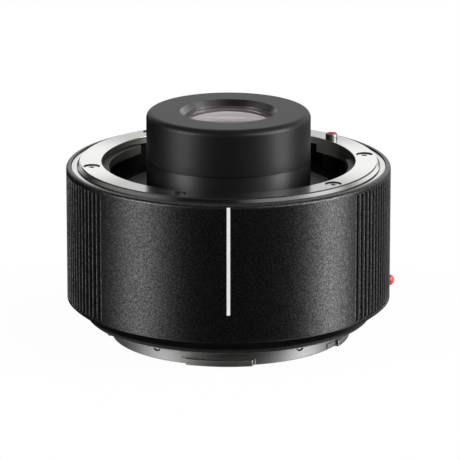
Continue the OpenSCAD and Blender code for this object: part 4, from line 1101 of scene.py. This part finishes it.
# %% The coil rule, the lock spring and the contact springs
LOCK_TRAVEL, CONTACT_TRAVEL, TOP_PLAY = 1.8, 0.8, 0.01
tree, size, _ = open_tree("coil_row", {
    "Count": 1, "Centre angle": LOCK_ANGLE, "Pitch": 0.0, "Circle": PIN_CIRCLE * MM,
    "Radius": 0.00105, "Wire": 0.00015, "Turns": 5.0, "Foot": 0.0, "Top": 0.004})
path = add(tree, "GeometryNodeCurveSpiral", None, {
    "Resolution": 24, "Rotations": size["Turns"], "Start Radius": size["Radius"],
    "End Radius": size["Radius"], "Height": size["Top"] - size["Foot"] - size["Wire"] * 2})
wire = add(tree, "GeometryNodeCurvePrimitiveCircle", None, {
    "Resolution": 10, "Radius": size["Wire"]})
coil = add(tree, "GeometryNodeCurveToMesh", None, {
    "Curve": path, "Profile Curve": wire, "Fill Caps": True})
row = add(tree, "GeometryNodeInstanceOnPoints", None, {
    "Points": arc_of_points(tree, size, size["Foot"] + size["Wire"]), "Instance": coil})
close_tree(tree, row, size["Finish"])


def wound(name, node, sizes):
    """Coils between a node's foot and top."""
    foot, top = (corner[2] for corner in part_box(node))
    spring = grow(marked(name, []), tree, {"Foot": foot, "Top": top - TOP_PLAY * MM, **sizes},
                  finish[slot_of[node]])
    seat(spring, "housing", node, weighted=False)
    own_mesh(spring)


wound("lock_coil", "lock_spring", {})
wound("contact_coils", "contact_springs", {
    **CONTACT_ARC, "Radius": 0.00045, "Wire": 0.00008, "Turns": 7.0})

# %% [markdown]
# ## The rear mount
# The rear bayonet is a spigot with a flange and four tabs, each with a shallow ramp that
# leads it in. It is brushed steel, its colour painted darker as shade under the barrel. The
# holes are cut with booleans. The tabs and ramps are closed shells laid over the spigot,
# since uniting faces that nearly touch leaves slivers.

# %% Turn the rear bayonet
SPIGOT_R, SPIGOT_IN, FLANGE_R, Z_REAR, Z_FLANGE = 26.77, 24.9, 32.05, 4.4, 5.9
MALE_R, ROOT_R, TAB_FOOT, TAB_H = 27.8, 25.83, 0.01, 1.45
RAMP_R, RAMP_FOOT, RAMP_END = SPIGOT_R + 0.3, 0.27, 1.5
REAR_TABS = [(68, 96, 3), (154, 188, 3), (249.6, 281.6, 3), (334, 372, 8)]  # from, to, lead


def eased(obj, first, last, radius, edge):
    """Rounds the upright outer edges at both ends of an arc."""
    for v in obj.data.vertices:
        turn = (math.degrees(math.atan2(v.co.y, v.co.x)) - first + 180) % 360 - 180 + first
        reach = edge - min(turn - first, last - turn) * math.pi / 180 * radius
        out = math.hypot(v.co.x, v.co.y)
        if reach > 0 and out > (radius - 2 * edge) * MM:
            pull = edge - math.sqrt(max(edge * edge - reach * reach, 0.0))
            v.co.xy *= (out - pull * MM) / out
    return obj


spigot = turned("rear_spigot", rounded([
    (SPIGOT_IN, 0, 0.15), (SPIGOT_R, 0, 0.25), (SPIGOT_R, Z_REAR, 0.12),
    (FLANGE_R, Z_REAR, 0.15), (FLANGE_R, Z_FLANGE), (SPIGOT_IN, Z_FLANGE)]))
arms = []
for first, last, lead in REAR_TABS:
    start, end = first - lead, last + RAMP_END
    ramp = turned("ramp", [(ROOT_R, RAMP_FOOT), (RAMP_R, RAMP_FOOT), (RAMP_R, TAB_H),
                           (ROOT_R, TAB_H)], 512, start, end)
    arms.append(eased(ramp, start, end, RAMP_R, 0.25))
    tab = turned("tab", rounded([
        (ROOT_R, TAB_FOOT), (MALE_R, TAB_FOOT, 0.2), (MALE_R, TAB_H + 0.005, 0.1),
        (ROOT_R, TAB_H + 0.005)], 3), 512, first, last)
    arms.append(eased(tab, first, last, MALE_R, 0.4))
holes = [rod("seat", 1.8, 3.9, 5.15, REAR_CIRCLE, a) for a in REAR_SCREWS]
holes.append(rod("lock_hole", PIN_R + PIN_PLAY, 3.9, 6.4, PIN_CIRCLE, LOCK_ANGLE))
carve(spigot, join("seats", *holes))
side_holes = []
for a in SIDE_SCREWS:
    drill = turned("drill", [(0, 24), (1.1, 24), (1.1, 28), (0, 28)], 48)
    side_holes.append(place(drill, Matrix.Rotation(math.pi / 2, 4, "Y"),
                            Matrix.Translation((0, 0, SIDE_SCREW_Z * MM)), about_z(a)))
carve(spigot, join("drills", *side_holes))
spigot = join("rear_spigot", spigot, *arms)
seat(spigot, "housing", "rear_bayonet", spigot_shaded_steel)

# %% [markdown]
# ## The rear baffle
# Inside the spigot sits a flat black baffle with a window that masks the picture's
# corners. The window is a box with bevelled corners, and a second cut makes room for the
# rear contact block.

# %% Turn the baffle and cut its window
BAFFLE_R, BAFFLE_IN_R, Z_BAFFLE, Z_BAFFLE_TOP = 24.88, 20.9, 1.5, 3.1
WINDOW_X, WINDOW_Y, WINDOW_ROUND, BLOCK_R = 15.5, 10.5, 0.8, 21.85
baffle = turned("rear_mask", rounded([
    (0, Z_BAFFLE), (BAFFLE_R, Z_BAFFLE, 0.2), (BAFFLE_R, Z_FLANGE), (BAFFLE_IN_R, Z_FLANGE),
    (BAFFLE_IN_R, Z_BAFFLE_TOP), (0, Z_BAFFLE_TOP)]))
opening = slab("window", (-WINDOW_X, -WINDOW_Y, 0), (WINDOW_X, WINDOW_Y, 8))
bevel = opening.modifiers.new("corner", "BEVEL")
bevel.width, bevel.segments, bevel.limit_method = WINDOW_ROUND * MM, 4, "ANGLE"
carve(baffle, settle(opening))
gap = turned("block_gap", [(BLOCK_R, 0), (26, 0), (26, 8), (BLOCK_R, 8)], 45, 72.6, 117.4)
carve(baffle, gap)
seat(baffle, "housing", "rear_baffle")

# %% [markdown]
# ## Everything else keeps its CAD mesh
# The chassis, the board, the leaf springs and the inner lenses have the right shape already
# and hardly show, so they keep their CAD meshes and only take the finish of their slot.

# %% Finish the carried-over nodes
carried = [name for name in nodes if name not in dressed]
for name in carried:
    for held in nodes[name].material_slots:
        held.material = finish[slot_of[name]].material
print("carried over:", len(carried), "dressed:", len(dressed))

# %% [markdown]
# ## The floor
# The photograph is a studio shot on pure white. The floor shows white to the camera and
# keeps only a soft contact shadow, which fades out a few centimetres from the part. It
# stays out of the mirrors of the gloss, which have a studio of their own.

# %% Lay the floor
FLOOR_HALF, SHADOW_NEAR, SHADOW_FAR, BLEACH_NEAR = 3.0, 0.04, 0.10, 0.97
bm = bmesh.new()
bmesh.ops.create_grid(bm, x_segments=8, y_segments=8, size=FLOOR_HALF)
floor = as_object("floor", bm)
card = Finish("pale_card", Roughness=0.9, Specular_IOR_Level=0.1)
card.set("Base Color", card.blend(card.noise(40.0), (0.86, 0.86, 0.86), (0.90, 0.90, 0.90)))
glow = card.add("ShaderNodeEmission", None, {"Color": (1, 1, 1, 1), "Strength": 1.0})
seen = card.add("ShaderNodeLightPath")
away = card.add("ShaderNodeVectorMath", {"operation": "LENGTH"}, {0: card.spot()}, 1)
bleach = BLEACH_NEAR + soft_step(away, SHADOW_NEAR, SHADOW_FAR) * (1 - BLEACH_NEAR)
mixed = card.add("ShaderNodeMixShader", None, {
    0: seen * bleach, 1: Wire(card.tree, card.skin), 2: glow})
card.tree.links.new(mixed.socket, card.tree.nodes["Material Output"].inputs["Surface"])
floor.data.materials.append(card.material)
floor.visible_glossy = False
print("floor", [round(v, 2) for v in floor.dimensions], "m")

# %% [markdown]
# ## The studio
# The world shows white to the camera, but what the gloss mirrors is a dark studio with a
# few soft lights: a tall panel at each side, a pale backdrop behind, weak light overhead, a
# high window at the right, a small bright light at the front right above eye level, a low
# glance from behind right, a faint fill in front, and light from above behind. Each is a
# rule on the direction, by heading and height, so it stays the same from every view.

# %% Light the studio
DARK = 0.006
scene = bpy.context.scene
world = bpy.data.worlds.new("studio")
scene.world = world
world.use_nodes = True
sky = world.node_tree
sky.nodes.clear()
x, y, z = split(sky, add(sky, "ShaderNodeTexCoord", out=0))
heading = abs(x.math("ARCTAN2", x, -y) * (180 / math.pi))  # 0 in front, 180 behind
right = x > 0.0
strips = hump(heading, 66 + 12 * right, 12.0 - 2.5 * right) * (5.2 + 3.8 * right)
panels = strips * (1 + 3.5 * soft_step(z, 0.12, 0.35)) * (1 - soft_step(z, 0.4, 0.6))
behind = soft_step(heading, 135 - 37 * right, 172 - 34 * right)
backdrop = behind * window(z, -0.02, 0.08, 0.5, 0.8) * 1.05
above = soft_step(x, 0.05, 0.4) * 0.4 + soft_step(x, -0.4, -0.75) * 0.35
overhead = above * soft_step(z, 0.3, 0.6)
high_window = right * hump(heading, 95, 24) * window(z, 0.45, 0.6, 0.72, 0.9) * 1.6
brow = right * hump(heading, 54, 15) * window(z, 0.34, 0.46, 0.62, 0.74) * 10.0
glance = right * soft_step(heading, 95.0, 125.0) * soft_step(z, -0.6, -0.35) * 0.3
fill = (1 - soft_step(heading, 35.0, 60.0)) * window(z, 0.14, 0.24, 0.38, 0.48) * 0.45
zenith = soft_step(heading, 100.0, 140.0) * soft_step(z, 0.8, 0.9) * 0.6
light = DARK
for part in (panels, backdrop, overhead, high_window, brow, glance, fill, zenith):
    light = x.math("MAXIMUM", light, part)
path = add(sky, "ShaderNodeLightPath")
studio = add(sky, "ShaderNodeBackground", None, {"Color": (1, 1, 1, 1), "Strength": light})
white = add(sky, "ShaderNodeBackground", None, {"Color": (1, 1, 1, 1), "Strength": 1.0})
shown = add(sky, "ShaderNodeMixShader", None, {0: path, 1: studio, 2: white})
sky.links.new(shown.socket, sky.nodes.new("ShaderNodeOutputWorld").inputs["Surface"])
print("studio:", len(sky.nodes), "nodes")

# %% [markdown]
# ## The camera
# The photograph was taken from far away with a long lens, a little above the object. The
# place, tilt and focal length come from fitting the rings of the CAD model to the ellipses
# in the photograph.

# %% Set the camera
FOCAL, SENSOR, TILT = 346.75, 36, 74.381
EYE_SPOT = (0.342, -973.6, 296.29)
eye = bpy.data.cameras.new("camera")
eye.lens, eye.sensor_width = FOCAL, SENSOR
viewer = bpy.data.objects.new("camera", eye)
viewer.location = Vector(EYE_SPOT) * MM
viewer.rotation_euler = (math.radians(TILT), 0, 0)
scene.collection.objects.link(viewer)
scene.camera = viewer
scene.view_settings.view_transform = "Standard"
print("camera at", [round(v, 3) for v in viewer.location])

# %% [markdown]
# ## Update the view layer
# The last cell brings the view layer up to date.

# %% Update the view layer
bpy.context.view_layer.update()
